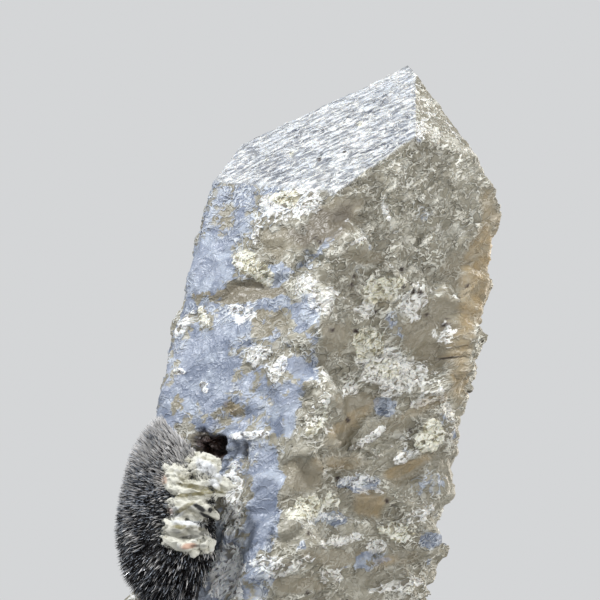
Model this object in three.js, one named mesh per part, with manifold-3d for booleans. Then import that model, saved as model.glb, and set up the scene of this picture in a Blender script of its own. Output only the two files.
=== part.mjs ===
// A stout quartz point with interference ledges, a tuft of black needles in its
// lower left corner and a cream crust on the tuft. Millimetres and degrees, +Z up.
// The origin is the middle of the flat broken base, where the point rests.
import * as THREE from "three";
import { mergeVertices } from "three/addons/utils/BufferGeometryUtils.js";
import Module from "manifold-3d";

const wasm = await Module();
wasm.setup();

// How the crystal's long axis stands over its base.
const LEAN_RIGHT = 12;
const LEAN_BACK = 10;

// The six prism faces: azimuth 0 faces the front, positive turns to the right.
const FIRST_AZIMUTH = -28.5;
const FACE_STEP = 60;
const PRISM_REACH = [19.2, 16.1, 20.5, 17.4, 18.6, 20.6];

// The six cap faces that close the point. A rise is how far a face's normal tips up.
const APEX = new THREE.Vector3(4.4, 0, 95.8);
const CAP_FACES = [
  { azimuth: -27.6, rise: 37.4, beyond: 0 },
  { azimuth: 28, rise: 41.5, beyond: 0 },
  { azimuth: 92.7, rise: 40.9, beyond: -1.3 },
  { azimuth: 151.5, rise: 38.2, beyond: 1.6 },
  { azimuth: 228, rise: 34.5, beyond: 0 },
  { azimuth: 271.5, rise: 20, beyond: 14.2 },
];
const CAP_RISE = 38.2;

// Below these undersides the left front corner steps in, and the needles grow there.
const BAY_UNDERSIDES = [
  { azimuth: -30, rise: -42, through: [-13, -15, 31] },
  { azimuth: -75, rise: -28.5, through: [-17.4, -12.4, 32.2] },
];
const BAY_REACH = [17.9, 15.9, 20.3, 17.2, 18.2, 15.8];
const BAY_CAP_DEPTH = 12;

// Gap between pieces that touch, and the size of the blocks that planes are cut from.
const GAP = 0.3;
const STOCK = 260;

// The needle tuft: its root on the crystal, and how far the needles reach from it.
const TUFT_ROOT = new THREE.Vector3(-10.9, -14.2, 19.6);
const TUFT_AXIS = { azimuth: -62, rise: -4 };
const TUFT_REACH = { left: 13.4, right: 3.4, front: 11.5, back: 12, up: 16.6, down: 15 };
const TUFT_CORE_SHARE = 0.86;
const NEEDLE_COUNT = 150;
const NEEDLE_BASE = 1.3;
const NEEDLE_SPREAD = 92;

const WORK_SEED = 11;

// Vectors and plain solids

function facing(azimuth, rise = 0) {
  const a = THREE.MathUtils.degToRad(azimuth);
  const r = THREE.MathUtils.degToRad(rise);
  return new THREE.Vector3(
    Math.sin(a) * Math.cos(r),
    -Math.cos(a) * Math.cos(r),
    Math.sin(r),
  );
}

function randomSource(seed) {
  let state = seed;
  return (low = 0, high = 1) => {
    state = (state * 16807) % 2147483647;
    return low + ((high - low) * state) / 2147483647;
  };
}

function solidOf(geometry) {
  const bare = geometry.index ? geometry.toNonIndexed() : geometry.clone();
  bare.deleteAttribute("normal");
  bare.deleteAttribute("uv");
  const merged = mergeVertices(bare, 1e-4);
  return new wasm.Manifold(
    new wasm.Mesh({
      numProp: 3,
      vertProperties: merged.attributes.position.array,
      triVerts: new Uint32Array(merged.index.array),
    }),
  );
}

function joined(solids) {
  return solids.reduce((whole, next) => whole.add(next));
}

// Keeps what lies behind the plane with this outward normal at this distance.
function keepBehind(solid, normal, distance) {
  return solid.trimByPlane([-normal.x, -normal.y, -normal.z], -distance);
}

function stockBlock() {
  return solidOf(new THREE.BoxGeometry(STOCK, STOCK, STOCK));
}

const prismNormals = PRISM_REACH.map((_, i) => facing(FIRST_AZIMUTH + i * FACE_STEP));

// A six sided column about the crystal's axis, by the reach of each of its faces.
function column(reach, grow = 0) {
  return prismNormals.reduce(
    (solid, normal, i) => keepBehind(solid, normal, reach[i] + grow),
    stockBlock(),
  );
}

// What lies behind every plane of a list, each given by its normal and a point on it.
function behindAll(planes, grow = 0) {
  return planes.reduce(
    (solid, [normal, point]) => keepBehind(solid, normal, normal.dot(point) + grow),
    stockBlock(),
  );
}

// A smaller crystal parallel to the large one, with a point above and below. Its prism
// faces stand at their own reach from the large crystal's axis, or round its own middle.
function parallelCrystal({ x, y, inradius, reach = {}, top, bottom, rise = CAP_RISE, grow = 0 }) {
  const apex = new THREE.Vector3(x, y, top);
  const root = new THREE.Vector3(x, y, bottom);
  const planes = prismNormals.flatMap((normal, i) => {
    const azimuth = FIRST_AZIMUTH + i * FACE_STEP;
    const side = reach[i] ?? normal.dot(apex) + inradius;
    return [
      [normal, normal.clone().multiplyScalar(side)],
      [facing(azimuth, rise), apex],
      [facing(azimuth, -rise), root],
    ];
  });
  return behindAll(planes, grow);
}

// Puts a solid made round the front of a face onto that face.
function ontoFace(solid, { face, across, height }) {
  const normal = prismNormals[face];
  const along = new THREE.Vector3(-normal.y, normal.x, 0);
  const place = normal.clone().multiplyScalar(PRISM_REACH[face]);
  place.addScaledVector(along, across);
  const azimuth = FIRST_AZIMUTH + face * FACE_STEP;
  return solid.rotate([0, 0, azimuth]).translate([place.x, place.y, height]);
}

// A growth step: a low block on a face, its front proud of it and its flanks like the
// large crystal's own planes.
function growthStep(step, grow = 0) {
  const { wide, tall, proud, turn = 0, nod = 0, rise = CAP_RISE } = step;
  const at = (x, z) => new THREE.Vector3(x, -proud, z);
  const planes = [
    [facing(turn, nod), at(0, 0)],
    [facing(FACE_STEP), at(wide / 2, 0)],
    [facing(-FACE_STEP), at(-wide / 2, 0)],
    [facing(turn, rise), at(0, tall / 2)],
    [facing(turn, -rise), at(0, -tall / 2)],
    [facing(FACE_STEP, rise), at(wide * 0.34, tall * 0.42)],
    [facing(-FACE_STEP, rise), at(-wide * 0.3, tall * 0.44)],
    [facing(FACE_STEP, -rise), at(wide * 0.36, -tall * 0.4)],
    [facing(180), new THREE.Vector3(0, STEP_ROOT, 0)],
  ];
  return ontoFace(behindAll(planes, grow), step);
}

// The large crystal

function capped(solid, grow) {
  return CAP_FACES.reduce((kept, face) => {
    const normal = facing(face.azimuth, face.rise);
    return keepBehind(kept, normal, normal.dot(APEX) + face.beyond + grow);
  }, solid);
}

function upperCrystal(grow = 0) {
  const solid = capped(column(PRISM_REACH, grow), grow);
  return BAY_UNDERSIDES.reduce((kept, face) => {
    const normal = facing(face.azimuth, face.rise);
    const through = new THREE.Vector3(...face.through);
    return keepBehind(kept, normal, normal.dot(through) + grow);
  }, solid);
}

function lowerColumn(grow = 0) {
  return capped(column(BAY_REACH, grow), -BAY_CAP_DEPTH + grow);
}

// The small pale point at the foot of the tuft.
const TIP_CRYSTAL = { x: -17.4, y: -10, inradius: 2.5, top: 10.4, bottom: -40, rise: 33 };

// Larger parallel individuals. A reach overrides one face, by its number.
const INDIVIDUALS = [
  // The left plate above the tuft and the shoulder block over it.
  { x: -13, y: -8, inradius: 6, reach: { 0: 19.9, 1: 9, 5: 21 }, top: 57, bottom: 21 },
  { x: -14, y: -6, inradius: 5, reach: { 0: 19.6, 5: 21 }, top: 66, bottom: 44 },
  // The long front individual whose edge runs down the middle of the front.
  { x: -2, y: -12, inradius: 6, reach: { 0: 18.7, 1: 18, 2: 4.6, 5: 7.2 }, top: 51, bottom: 8 },
  // Blocks along the right edge.
  { x: 14.8, y: -4.4, inradius: 7, reach: { 2: 20.9 }, top: 67, bottom: 50 },
  { x: 14.4, y: -4.2, inradius: 7, reach: { 1: 17, 2: 21.2 }, top: 48, bottom: 29 },
  { x: 14.6, y: -3.7, inradius: 7, reach: { 1: 17.6, 2: 22.1 }, top: 35, bottom: 14 },
  { x: 11.7, y: -7.4, inradius: 7, reach: { 1: 17.2, 2: 20.9 }, top: 21, bottom: -30 },
  // Blocks on the back.
  { x: 6.5, y: 9.4, inradius: 8.6, top: 58, bottom: 22 },
  { x: -8.2, y: 9.5, inradius: 7.6, top: 71, bottom: 38 },
  { x: -9.4, y: 8.2, inradius: 8.2, top: 33, bottom: -30 },
];

// The steps that show on the two front faces, each by its middle on the face.
const FRONT_STEPS = [
  { face: 0, across: -3.8, height: 56.3, wide: 6.4, tall: 4.6, proud: 0.7 },
  { face: 0, across: 8.1, height: 59.6, wide: 4.4, tall: 2.6, proud: 0.6 },
  { face: 0, across: -8.6, height: 54.6, wide: 6, tall: 7, proud: 0.6, turn: -6 },
  { face: 0, across: 2, height: 60.2, wide: 9, tall: 5, proud: 0.4, nod: 4 },
  { face: 0, across: 7.4, height: 49.6, wide: 5.4, tall: 9, proud: 1, turn: 5 },
  { face: 0, across: -1.6, height: 50, wide: 9, tall: 4, proud: 0.5, nod: -5 },
  { face: 0, across: 4, height: 41.4, wide: 6, tall: 6, proud: 0.5, turn: -5 },
  { face: 1, across: -9.6, height: 55.6, wide: 5, tall: 6, proud: 0.7, turn: -9 },
  { face: 1, across: -6.3, height: 53.4, wide: 4.6, tall: 6, proud: 1.1, turn: 7 },
  { face: 1, across: -2.1, height: 57.4, wide: 5.6, tall: 4.4, proud: 1.3, nod: 8 },
  { face: 1, across: 2.5, height: 58.2, wide: 4.8, tall: 4.6, proud: 1.1, turn: -8 },
  { face: 1, across: 9, height: 56.4, wide: 7.4, tall: 8, proud: 0.8, turn: 8, nod: -4 },
  { face: 1, across: 3, height: 52.4, wide: 6, tall: 5, proud: 0.9, nod: -8 },
  { face: 1, across: 11.4, height: 49.8, wide: 6.4, tall: 5, proud: 0.6, turn: 9 },
  { face: 1, across: 1.5, height: 45.4, wide: 9.6, tall: 5, proud: 1.4, nod: 7 },
  { face: 1, across: 8, height: 46.4, wide: 6, tall: 4.6, proud: 1, turn: 10 },
  { face: 1, across: -6, height: 46.2, wide: 6, tall: 5, proud: 0.9, turn: -6 },
  { face: 1, across: 10.4, height: 40, wide: 6.4, tall: 6, proud: 1.4, turn: -7 },
  { face: 1, across: 5, height: 40.6, wide: 5.6, tall: 4, proud: 0.8, nod: 9 },
  { face: 1, across: 0.8, height: 35.6, wide: 6.4, tall: 4, proud: 1.5, nod: 10 },
  { face: 1, across: 8.2, height: 33.6, wide: 9, tall: 4.4, proud: 1, nod: -9 },
  { face: 1, across: 0.4, height: 29.2, wide: 9, tall: 3.6, proud: 1.6, nod: 11 },
  { face: 1, across: -6.6, height: 24.2, wide: 8.6, tall: 4.6, proud: 1.4, turn: -8 },
  { face: 1, across: 8.4, height: 26.3, wide: 7, tall: 5, proud: 1.2, turn: 6 },
  { face: 1, across: 1.4, height: 22.6, wide: 6.6, tall: 4, proud: 1, nod: -8 },
  { face: 1, across: -2.4, height: 18.4, wide: 9, tall: 4.4, proud: 1.5, nod: 8 },
  { face: 1, across: 7.6, height: 19.6, wide: 8, tall: 4.4, proud: 1.3, turn: -6 },
  { face: 1, across: -7, height: 13, wide: 7, tall: 5, proud: 1, turn: -6 },
  { face: 1, across: 2.4, height: 12.4, wide: 8, tall: 5, proud: 1.2, nod: 6 },
];

// How far a step's root goes into the crystal, and how a row of steps climbs to the right.
const STEP_ROOT = 3;
const STEP_SLOPE = 0.3;

// Where further steps crowd on each prism face: how many, and between which heights.
const STEP_FIELDS = [
  { face: 0, count: 7, low: 44, high: 58, half: 9, proud: [0.15, 0.5] },
  { face: 0, count: 7, low: 8, high: 38, half: 3, middle: 8, proud: [0.2, 0.5] },
  { face: 1, count: 24, low: 8, high: 55, half: 11, proud: [0.3, 1] },
  { face: 2, count: 26, low: 8, high: 64, half: 9, proud: [0.3, 1.1] },
  { face: 3, count: 30, low: 6, high: 66, half: 10, proud: [0.3, 1.2] },
  { face: 4, count: 28, low: 6, high: 66, half: 9, proud: [0.3, 1.1] },
  { face: 5, count: 12, low: 42, high: 64, half: 8, proud: [0.2, 0.8] },
];

function stepField({ face, count, low, high, half, middle = 0, proud }, random) {
  return Array.from({ length: count }, (_, i) => {
    const across = middle + random(-half, half);
    const level = THREE.MathUtils.lerp(low, high, (i + random()) / count);
    return {
      face,
      across,
      height: level + STEP_SLOPE * across,
      wide: random(3.6, 8.6),
      tall: random(2.6, 6.4),
      proud: random(...proud),
      turn: random(-12, 12),
      nod: random(-10, 10),
      rise: random(32, 50),
    };
  });
}

// The notches that show on the front: bars laid edge first across a face, taken out.
const FRONT_NOTCHES = [
  { face: 1, across: 2, height: 48.6, long: 19, depth: 0.5, tilt: -17, open: 38 },
  { face: 1, across: -3.2, height: 51, long: 8, depth: 0.9, tilt: -72, open: 50 },
  { face: 1, across: 13.6, height: 45, long: 5, depth: 1.2, tilt: -14, open: 45 },
  { face: 1, across: 13.4, height: 20.8, long: 6, depth: 1, tilt: -20, open: 45 },
  { face: 1, across: 4, height: 37.6, long: 9, depth: 0.6, tilt: -34, open: 40 },
  { face: 1, across: 4.6, height: 31.4, long: 12, depth: 0.5, tilt: -26, open: 36 },
  { face: 1, across: -5, height: 31, long: 7, depth: 0.5, tilt: -50, open: 52 },
  { face: 1, across: 2.6, height: 25.6, long: 12, depth: 0.4, tilt: -10, open: 42 },
  { face: 0, across: -4, height: 59, long: 10, depth: 0.5, tilt: -8, open: 34 },
  { face: 0, across: -11.4, height: 48.4, long: 6, depth: 0.7, tilt: -4, open: 44 },
  { face: 0, across: -0.8, height: 34.8, long: 4, depth: 0.9, tilt: -20, open: 40 },
];

// Where further notches cross each prism face.
const NOTCH_FIELDS = [
  { face: 2, count: 7, low: 12, high: 62, depth: [-0.3, 0.9] },
  { face: 3, count: 8, low: 8, high: 64, depth: [-0.3, 1] },
  { face: 4, count: 8, low: 8, high: 64, depth: [-0.3, 0.9] },
  { face: 5, count: 3, low: 44, high: 62, depth: [-0.2, 0.6] },
];
const NOTCH_BAR = 6;

function notchField({ face, count, low, high, depth }, random) {
  return Array.from({ length: count }, (_, i) => ({
    face,
    across: random(-8, 8),
    height: THREE.MathUtils.lerp(low, high, (i + random()) / count),
    long: random(5, 13),
    depth: random(...depth),
    tilt: random(-40, 30),
    open: random(28, 60),
  }));
}

function notchBar(notch) {
  const bar = new THREE.BoxGeometry(notch.long, NOTCH_BAR, NOTCH_BAR);
  bar.rotateX(THREE.MathUtils.degToRad(notch.open));
  bar.rotateY(THREE.MathUtils.degToRad(notch.tilt));
  bar.translate(0, notch.depth - NOTCH_BAR / Math.SQRT2, 0);
  return ontoFace(solidOf(bar), notch);
}

// The whole crystal before the notches are cut. Grown by the gap, it cuts its neighbours.
function grownCrystal(grow = 0) {
  const random = randomSource(WORK_SEED);
  const steps = [...FRONT_STEPS, ...STEP_FIELDS.flatMap((field) => stepField(field, random))];
  return joined([
    upperCrystal(grow),
    lowerColumn(grow),
    ...[TIP_CRYSTAL, ...INDIVIDUALS].map((sizes) => parallelCrystal({ ...sizes, grow })),
    ...steps.map((step) => growthStep(step, grow)),
  ]);
}

function quartzCrystal() {
  const random = randomSource(WORK_SEED + 1);
  const fields = NOTCH_FIELDS.flatMap((field) => notchField(field, random));
  const notches = [...FRONT_NOTCHES, ...fields].map(notchBar);
  return largestBody(grownCrystal().subtract(joined(notches)));
}

// The tuft

const tuftFront = facing(TUFT_AXIS.azimuth, TUFT_AXIS.rise);

// How far the dome of tips lies from the root in a direction.
function tuftReach(direction) {
  const { left, right, front, back, up, down } = TUFT_REACH;
  const side = direction.x / (direction.x < 0 ? left : right);
  const depth = direction.y / (direction.y < 0 ? front : back);
  return 1 / Math.hypot(side, depth, direction.z / (direction.z > 0 ? up : down));
}

function needle(direction, length, base) {
  const cone = new THREE.ConeGeometry(base, length, 4, 1);
  cone.translate(0, length / 2, 0);
  const turn = new THREE.Quaternion();
  turn.setFromUnitVectors(new THREE.Vector3(0, 1, 0), direction);
  cone.applyQuaternion(turn);
  cone.translate(TUFT_ROOT.x, TUFT_ROOT.y, TUFT_ROOT.z);
  return solidOf(cone);
}

// Needle directions are spread evenly over a cap of a sphere about the tuft's axis.
function needleDirections() {
  const golden = Math.PI * (3 - Math.sqrt(5));
  const edge = Math.cos(THREE.MathUtils.degToRad(NEEDLE_SPREAD));
  const turn = new THREE.Quaternion();
  turn.setFromUnitVectors(new THREE.Vector3(0, 0, 1), tuftFront);
  return Array.from({ length: NEEDLE_COUNT }, (_, i) => {
    const z = 1 - ((i + 0.5) / NEEDLE_COUNT) * (1 - edge);
    const ring = Math.sqrt(1 - z * z);
    const angle = i * golden;
    const local = new THREE.Vector3(ring * Math.cos(angle), ring * Math.sin(angle), z);
    return local.applyQuaternion(turn);
  });
}

// The close packed middle of the tuft, whose surface keeps a share of the reach.
function tuftCore(grow = 0) {
  const ball = new THREE.IcosahedronGeometry(1, 3);
  const places = ball.getAttribute("position");
  const point = new THREE.Vector3();
  for (let i = 0; i < places.count; i++) {
    point.fromBufferAttribute(places, i).normalize();
    point.multiplyScalar(tuftReach(point) * TUFT_CORE_SHARE + grow).add(TUFT_ROOT);
    places.setXYZ(i, point.x, point.y, point.z);
  }
  return solidOf(ball);
}

// The crust's lumps: sideways, forward and up from the tuft's root, and half sizes.
const CRUST_LUMPS = [
  { at: [-4.2, -8.4, 6.4], half: [2.7, 2.2, 2.1] },
  { at: [-1.4, -8.2, 7], half: [2.9, 2.3, 1.8] },
  { at: [-4.4, -9.3, 3.4], half: [2.5, 2.2, 2.3] },
  { at: [-1.2, -9.2, 3.6], half: [2.8, 2.2, 2.5] },
  { at: [-3.2, -9.8, 0.4], half: [2.9, 2.1, 1.7] },
  { at: [-0.4, -9.2, 0.6], half: [1.9, 2, 2] },
  { at: [-3.6, -9.5, -2.4], half: [2.6, 2, 1.9] },
  { at: [-1, -9, -3.2], half: [2.4, 2.1, 2.2] },
  { at: [-2.9, -8.9, -5.1], half: [2.6, 2, 1.6] },
];

function crustLumps(grow = 0) {
  const random = randomSource(WORK_SEED + 5);
  return joined(
    CRUST_LUMPS.map(({ at, half }) => {
      const lump = new THREE.IcosahedronGeometry(1, 1);
      lump.rotateX(random(0, 3));
      lump.rotateZ(random(0, 3));
      lump.scale(half[0] + grow, half[1] + grow, half[2] + grow);
      lump.translate(at[0], at[1], at[2]);
      lump.translate(TUFT_ROOT.x, TUFT_ROOT.y, TUFT_ROOT.z);
      return solidOf(lump);
    }),
  );
}

function largestBody(solid) {
  return solid.decompose().reduce((a, b) => (a.volume() > b.volume() ? a : b));
}

function needleTuft() {
  const random = randomSource(WORK_SEED + 9);
  const needles = needleDirections().map((direction) => {
    const length = tuftReach(direction) * random(0.9, 1);
    return needle(direction, length, NEEDLE_BASE * random(0.8, 1.15));
  });
  const whole = tuftCore()
    .add(joined(needles))
    .subtract(crustLumps(GAP))
    .subtract(grownCrystal(GAP));
  return largestBody(whole);
}

function creamCrust() {
  const shell = crustLumps().subtract(tuftCore(GAP));
  return largestBody(shell.subtract(grownCrystal(GAP)));
}

// From the crystal's own upright frame to the leaning stand, cut off flat at the base.
const lean = new THREE.Matrix4().makeRotationFromEuler(
  new THREE.Euler(
    THREE.MathUtils.degToRad(-LEAN_BACK),
    THREE.MathUtils.degToRad(LEAN_RIGHT),
    0,
    "YXZ",
  ),
);

function stand(solid) {
  return solid.transform(lean.elements).trimByPlane([0, 0, 1], 0);
}

function meshOf(name, solid, look) {
  const { vertProperties, triVerts } = stand(solid).getMesh();
  const geometry = new THREE.BufferGeometry();
  geometry.setAttribute("position", new THREE.BufferAttribute(vertProperties, 3));
  geometry.setIndex(new THREE.BufferAttribute(triVerts, 1));
  geometry.computeVertexNormals();
  const material = new THREE.MeshStandardMaterial({ flatShading: true, ...look });
  const mesh = new THREE.Mesh(geometry, material);
  mesh.name = name;
  return mesh;
}

const group = new THREE.Group();
group.add(
  meshOf("quartz_crystal", quartzCrystal(), {
    color: "#b9b5a4",
    roughness: 0.55,
    metalness: 0,
  }),
  meshOf("needle_tuft", needleTuft(), {
    color: "#15161a",
    roughness: 0.3,
    metalness: 0,
  }),
  meshOf("cream_crust", creamCrust(), {
    color: "#d9d3a8",
    roughness: 0.9,
    metalness: 0,
  }),
);
export default group;
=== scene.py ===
"""Interference quartz crystal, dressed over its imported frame.

A stout, frosted quartz crystal leans to the right on its cut base. Its front is broken into
plates and ledges by the imprints of other crystals, and cream crusts lie on the ledges. A tuft
of black needles fills a bay low on the left, with a lump of cream clay stuck in it.
"""

import logging
from dataclasses import dataclass, field
from enum import Enum

import bpy
import numpy as np
from bpy.types import Material, Node, NodeOutputs, NodeSocket, NodeTree, Object
from mathutils import Matrix


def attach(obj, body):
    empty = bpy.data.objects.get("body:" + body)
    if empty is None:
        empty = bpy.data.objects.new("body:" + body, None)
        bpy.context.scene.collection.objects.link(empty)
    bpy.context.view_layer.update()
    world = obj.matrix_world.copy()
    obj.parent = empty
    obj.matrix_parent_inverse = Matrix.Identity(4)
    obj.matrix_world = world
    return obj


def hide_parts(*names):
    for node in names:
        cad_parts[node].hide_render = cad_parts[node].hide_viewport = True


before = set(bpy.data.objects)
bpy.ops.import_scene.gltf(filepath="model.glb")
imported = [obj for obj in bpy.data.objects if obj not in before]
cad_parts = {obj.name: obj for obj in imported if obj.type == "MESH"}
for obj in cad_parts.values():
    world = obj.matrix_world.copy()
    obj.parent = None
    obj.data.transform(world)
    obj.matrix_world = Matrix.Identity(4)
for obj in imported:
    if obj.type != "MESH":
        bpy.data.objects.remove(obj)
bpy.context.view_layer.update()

MM = 0.001
LEAN_RIGHT = np.radians(12.0)
LEAN_BACK = np.radians(10.0)
WORK_SEED = 11
# The way that the ledges run, and the frost with them.
LEDGE_ALONG = (0.87, 0.0, 0.5)
HALF_GREY = (0.5, 0.5, 0.5)

log = logging.getLogger("interference_quartz")


def standing_turn() -> np.ndarray:
    """Work out the turn from the crystal's own axes to the leaning crystal on the floor.

    Returns:
        A 3 by 3 matrix: the crystal is tipped back, and then over to the right.
    """
    back_c, back_s = np.cos(LEAN_BACK), np.sin(LEAN_BACK)
    side_c, side_s = np.cos(LEAN_RIGHT), np.sin(LEAN_RIGHT)
    tip_back = np.array([[1, 0, 0], [0, back_c, back_s], [0, -back_s, back_c]])
    tip_right = np.array([[side_c, 0, side_s], [0, 1, 0], [-side_s, 0, side_c]])
    return tip_right @ tip_back


STANDING = standing_turn()
LONG_AXIS = STANDING[:, 2]


def smooth_step(low: float, high: float, value: np.ndarray) -> np.ndarray:
    """Rise from 0 at low to 1 at high along the curve 3tt - 2ttt.

    Args:
        low: value where the rise starts.
        high: value where it ends, below low for a fall.
        value: the values to grade.

    Returns:
        The graded values, from 0 to 1.
    """
    share = np.clip((value - low) / (high - low), 0.0, 1.0)
    return share * share * (3.0 - 2.0 * share)


def unit(vectors: np.ndarray) -> np.ndarray:
    """Scale vectors, kept on the last axis, to length 1."""
    return vectors / np.maximum(np.linalg.norm(vectors, axis=-1, keepdims=True), 1e-12)


def on_ball(turn: np.ndarray, rise: np.ndarray) -> np.ndarray:
    """Find places on a ball of radius 1: cos rise cos turn, cos rise sin turn, sin rise."""
    return np.stack([np.cos(rise) * np.cos(turn), np.cos(rise) * np.sin(turn), np.sin(rise)], -1)


def ringed_ball(rows: int, columns: int) -> np.ndarray:
    """Lay rings of points on a ball of radius 1, from near its bottom to near its top.

    Args:
        rows: how many rings there are.
        columns: how many points each ring has.

    Returns:
        The rings' points, and then the bottom point and the top one.
    """
    rise = np.linspace(-np.pi / 2, np.pi / 2, rows + 2)[1:-1]
    turn = np.linspace(0, 2 * np.pi, columns, endpoint=False)
    rise, turn = np.meshgrid(rise, turn, indexing="ij")
    return np.concatenate([on_ball(turn, rise).reshape(-1, 3), [[0, 0, -1.0], [0, 0, 1.0]]])


def stand(thing: Object, axes: tuple, place: np.ndarray) -> None:
    """Put a camera or a lamp into the scene.

    Args:
        thing: the camera or the lamp.
        axes: its right, its up and its back, as unit vectors.
        place: where it stands, in millimetres.
    """
    bpy.context.scene.collection.objects.link(thing)
    matrix = np.eye(4)
    matrix[:3, :3] = np.stack(axes, 1)
    matrix[:3, 3] = place * MM
    thing.matrix_world = Matrix(matrix.tolist())


@dataclass(frozen=True)
class StoneNoise:
    """Repeatable random fields over space, each one a function of a point in millimetres."""

    seed: int = WORK_SEED

    def hashed(self, corners: np.ndarray, salt: int) -> np.ndarray:
        """Turn whole lattice places into values from 0 to 1.

        Args:
            corners: whole numbers, three to a place on the last axis.
            salt: picks one of many unlike sets of values.

        Returns:
            One value for each place.
        """
        key = corners.astype(np.int64).astype(np.uint32)
        mixed = key[..., 0] * np.uint32(73856093)
        mixed = mixed ^ (key[..., 1] * np.uint32(19349663))
        mixed = mixed ^ (key[..., 2] * np.uint32(83492791))
        mixed = mixed + np.uint32((self.seed * 7919 + salt * 104729) % 4294967296)
        mixed = (mixed ^ (mixed >> np.uint32(15))) * np.uint32(2246822519)
        mixed = (mixed ^ (mixed >> np.uint32(13))) * np.uint32(3266489917)
        return (mixed ^ (mixed >> np.uint32(16))) / 4294967295.0

    def wave(self, points: np.ndarray, size: float, salt: int = 0) -> np.ndarray:
        """Blend random slopes set at lattice corners, which gives smooth rolling noise.

        Args:
            points: places, in millimetres.
            size: distance between lattice corners, in millimetres.
            salt: picks one of many unlike fields.

        Returns:
            Values of about -1 to 1.
        """
        place = points / size
        floor = np.floor(place)
        inside = place - floor
        fade = inside**3 * (inside * (inside * 6 - 15) + 10)
        total = np.zeros(len(points))
        for corner in np.ndindex(2, 2, 2):
            step = np.array(corner, float)
            slope = np.stack([self.hashed(floor + step, salt * 3 + k) for k in range(3)], -1)
            rise = ((slope * 2 - 1) * (inside - step)).sum(-1)
            total += rise * np.where(step > 0, fade, 1 - fade).prod(-1)
        return total * 1.6

    def rough(self, points: np.ndarray, size: float, layers: int, salt: int = 0) -> np.ndarray:
        """Add layers of rolling noise, each half as large and half as strong as the last.

        Args:
            points: places, in millimetres.
            size: size of the first layer, in millimetres.
            layers: how many layers there are.
            salt: picks one of many unlike fields.

        Returns:
            Values of about -1 to 1.
        """
        total = np.zeros(len(points))
        for layer in range(layers):
            total += 0.5**layer * self.wave(points, size * 0.5**layer, salt + 17 * layer)
        return total / (2 - 0.5 ** (layers - 1))

    def bent(self, points: np.ndarray, size: float, reach: float, salt: int = 0) -> np.ndarray:
        """Push points about by rolling noise, so that a field read there curls.

        Args:
            points: places, in millimetres.
            size: size of the curls, in millimetres.
            reach: how far a place may be pushed, in millimetres.
            salt: picks one of many unlike fields.

        Returns:
            The pushed places.
        """
        push = [self.wave(points, size, salt + 31 * k) for k in range(3)]
        return points + reach * np.stack(push, -1)

    def curls(self, points: np.ndarray, size: float, salt: int = 0) -> np.ndarray:
        """Make thin winding crests: 1 less the height of curled noise, taken without its sign.

        Args:
            points: places, in millimetres.
            size: distance from crest to crest, in millimetres.
            salt: picks one of many unlike fields.

        Returns:
            Values from 0 in the hollows to 1 on a crest.
        """
        pushed = self.bent(points, size * 2.2, size * 1.3, salt)
        return np.clip(1 - 2.2 * np.abs(self.wave(pushed, size, salt + 5)), 0, 1)

    def facets(self, points: np.ndarray, size: float, salt: int, slopes: tuple) -> tuple:
        """Break space into chips, which are the cells about scattered seeds, and tilt each one.

        A chip slopes along each axis by the sine of its own value times the axis's number.

        Args:
            points: places, in millimetres.
            size: width of a chip, in millimetres.
            salt: picks one of many unlike fields.
            slopes: a number for each axis.

        Returns:
            A height from -0.5 to 0.5 for each place's chip, and how far its tilt lifts the place.
        """
        place = points / size
        floor = np.floor(place)
        nearest = np.full(len(points), np.inf)
        chip = np.zeros(len(points))
        step = np.zeros_like(points)
        for offset in np.ndindex(3, 3, 3):
            cell = floor + np.array(offset, float) - 1
            seed = cell + np.stack([self.hashed(cell, salt + 50 + k) for k in range(3)], -1)
            away = place - seed
            gap = np.linalg.norm(away, axis=-1)
            closer = gap < nearest
            nearest = np.where(closer, gap, nearest)
            chip = np.where(closer, self.hashed(cell, salt + 60), chip)
            step = np.where(closer[:, None], away, step)
        tilt = np.stack([np.sin(chip * slope) for slope in slopes], -1)
        return chip - 0.5, (step * tilt).sum(-1)


@dataclass(frozen=True)
class CameraPlace:
    """The camera, placed so that the leaning crystal fills the frame as it does in life."""

    target: tuple = (7.0, -4.7587, 54.3922)
    distance: float = 500.0
    elevation: float = -5.0
    mm_per_pixel: float = 0.14
    frame_pixels: float = 600.0
    sensor: float = 36.0
    near: float = 0.01
    far: float = 20.0

    def axes(self) -> tuple:
        """Work out the picture's own directions from the camera's elevation.

        Returns:
            Unit vectors that point right, up and back towards the camera.
        """
        rise = np.radians(self.elevation)
        right = np.array([1.0, 0.0, 0.0])
        up = np.array([0.0, np.sin(rise), np.cos(rise)])
        back = np.array([0.0, -np.cos(rise), np.sin(rise)])
        return right, up, back

    def pixels(self, points: np.ndarray) -> tuple:
        """Find where points are seen, by dividing their offset by their depth.

        Args:
            points: places, in millimetres.

        Returns:
            Pixels across from the left and down from the top of a 600 by 600 picture.
        """
        right, up, back = self.axes()
        away = points - (np.array(self.target) + back * self.distance)
        scale = self.distance / -(away @ back) / self.mm_per_pixel
        centre = self.frame_pixels / 2
        return centre + (away @ right) * scale, centre - (away @ up) * scale

    def build(self) -> Object:
        """Make the camera and look through it.

        Returns:
            The camera object.
        """
        axes = self.axes()
        data = bpy.data.cameras.new("camera")
        data.sensor_width = self.sensor
        data.lens = self.sensor * self.distance / (self.mm_per_pixel * self.frame_pixels)
        data.clip_start = self.near
        data.clip_end = self.far
        camera = bpy.data.objects.new("camera", data)
        stand(camera, axes, np.array(self.target) + axes[2] * self.distance)
        bpy.context.scene.camera = camera
        return camera


VIEW = CameraPlace()


class Deposit(Enum):
    """What lies on a place of the stone or what the stone itself is like there; some kinds also
    paint light or shade onto it.
    """

    WHITE = "white"
    CREAM = "cream"
    BLUE = "blue"
    SLATE = "slate"
    HONEY = "honey"
    AMBER = "amber_glow"
    DARK = "dark"


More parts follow.
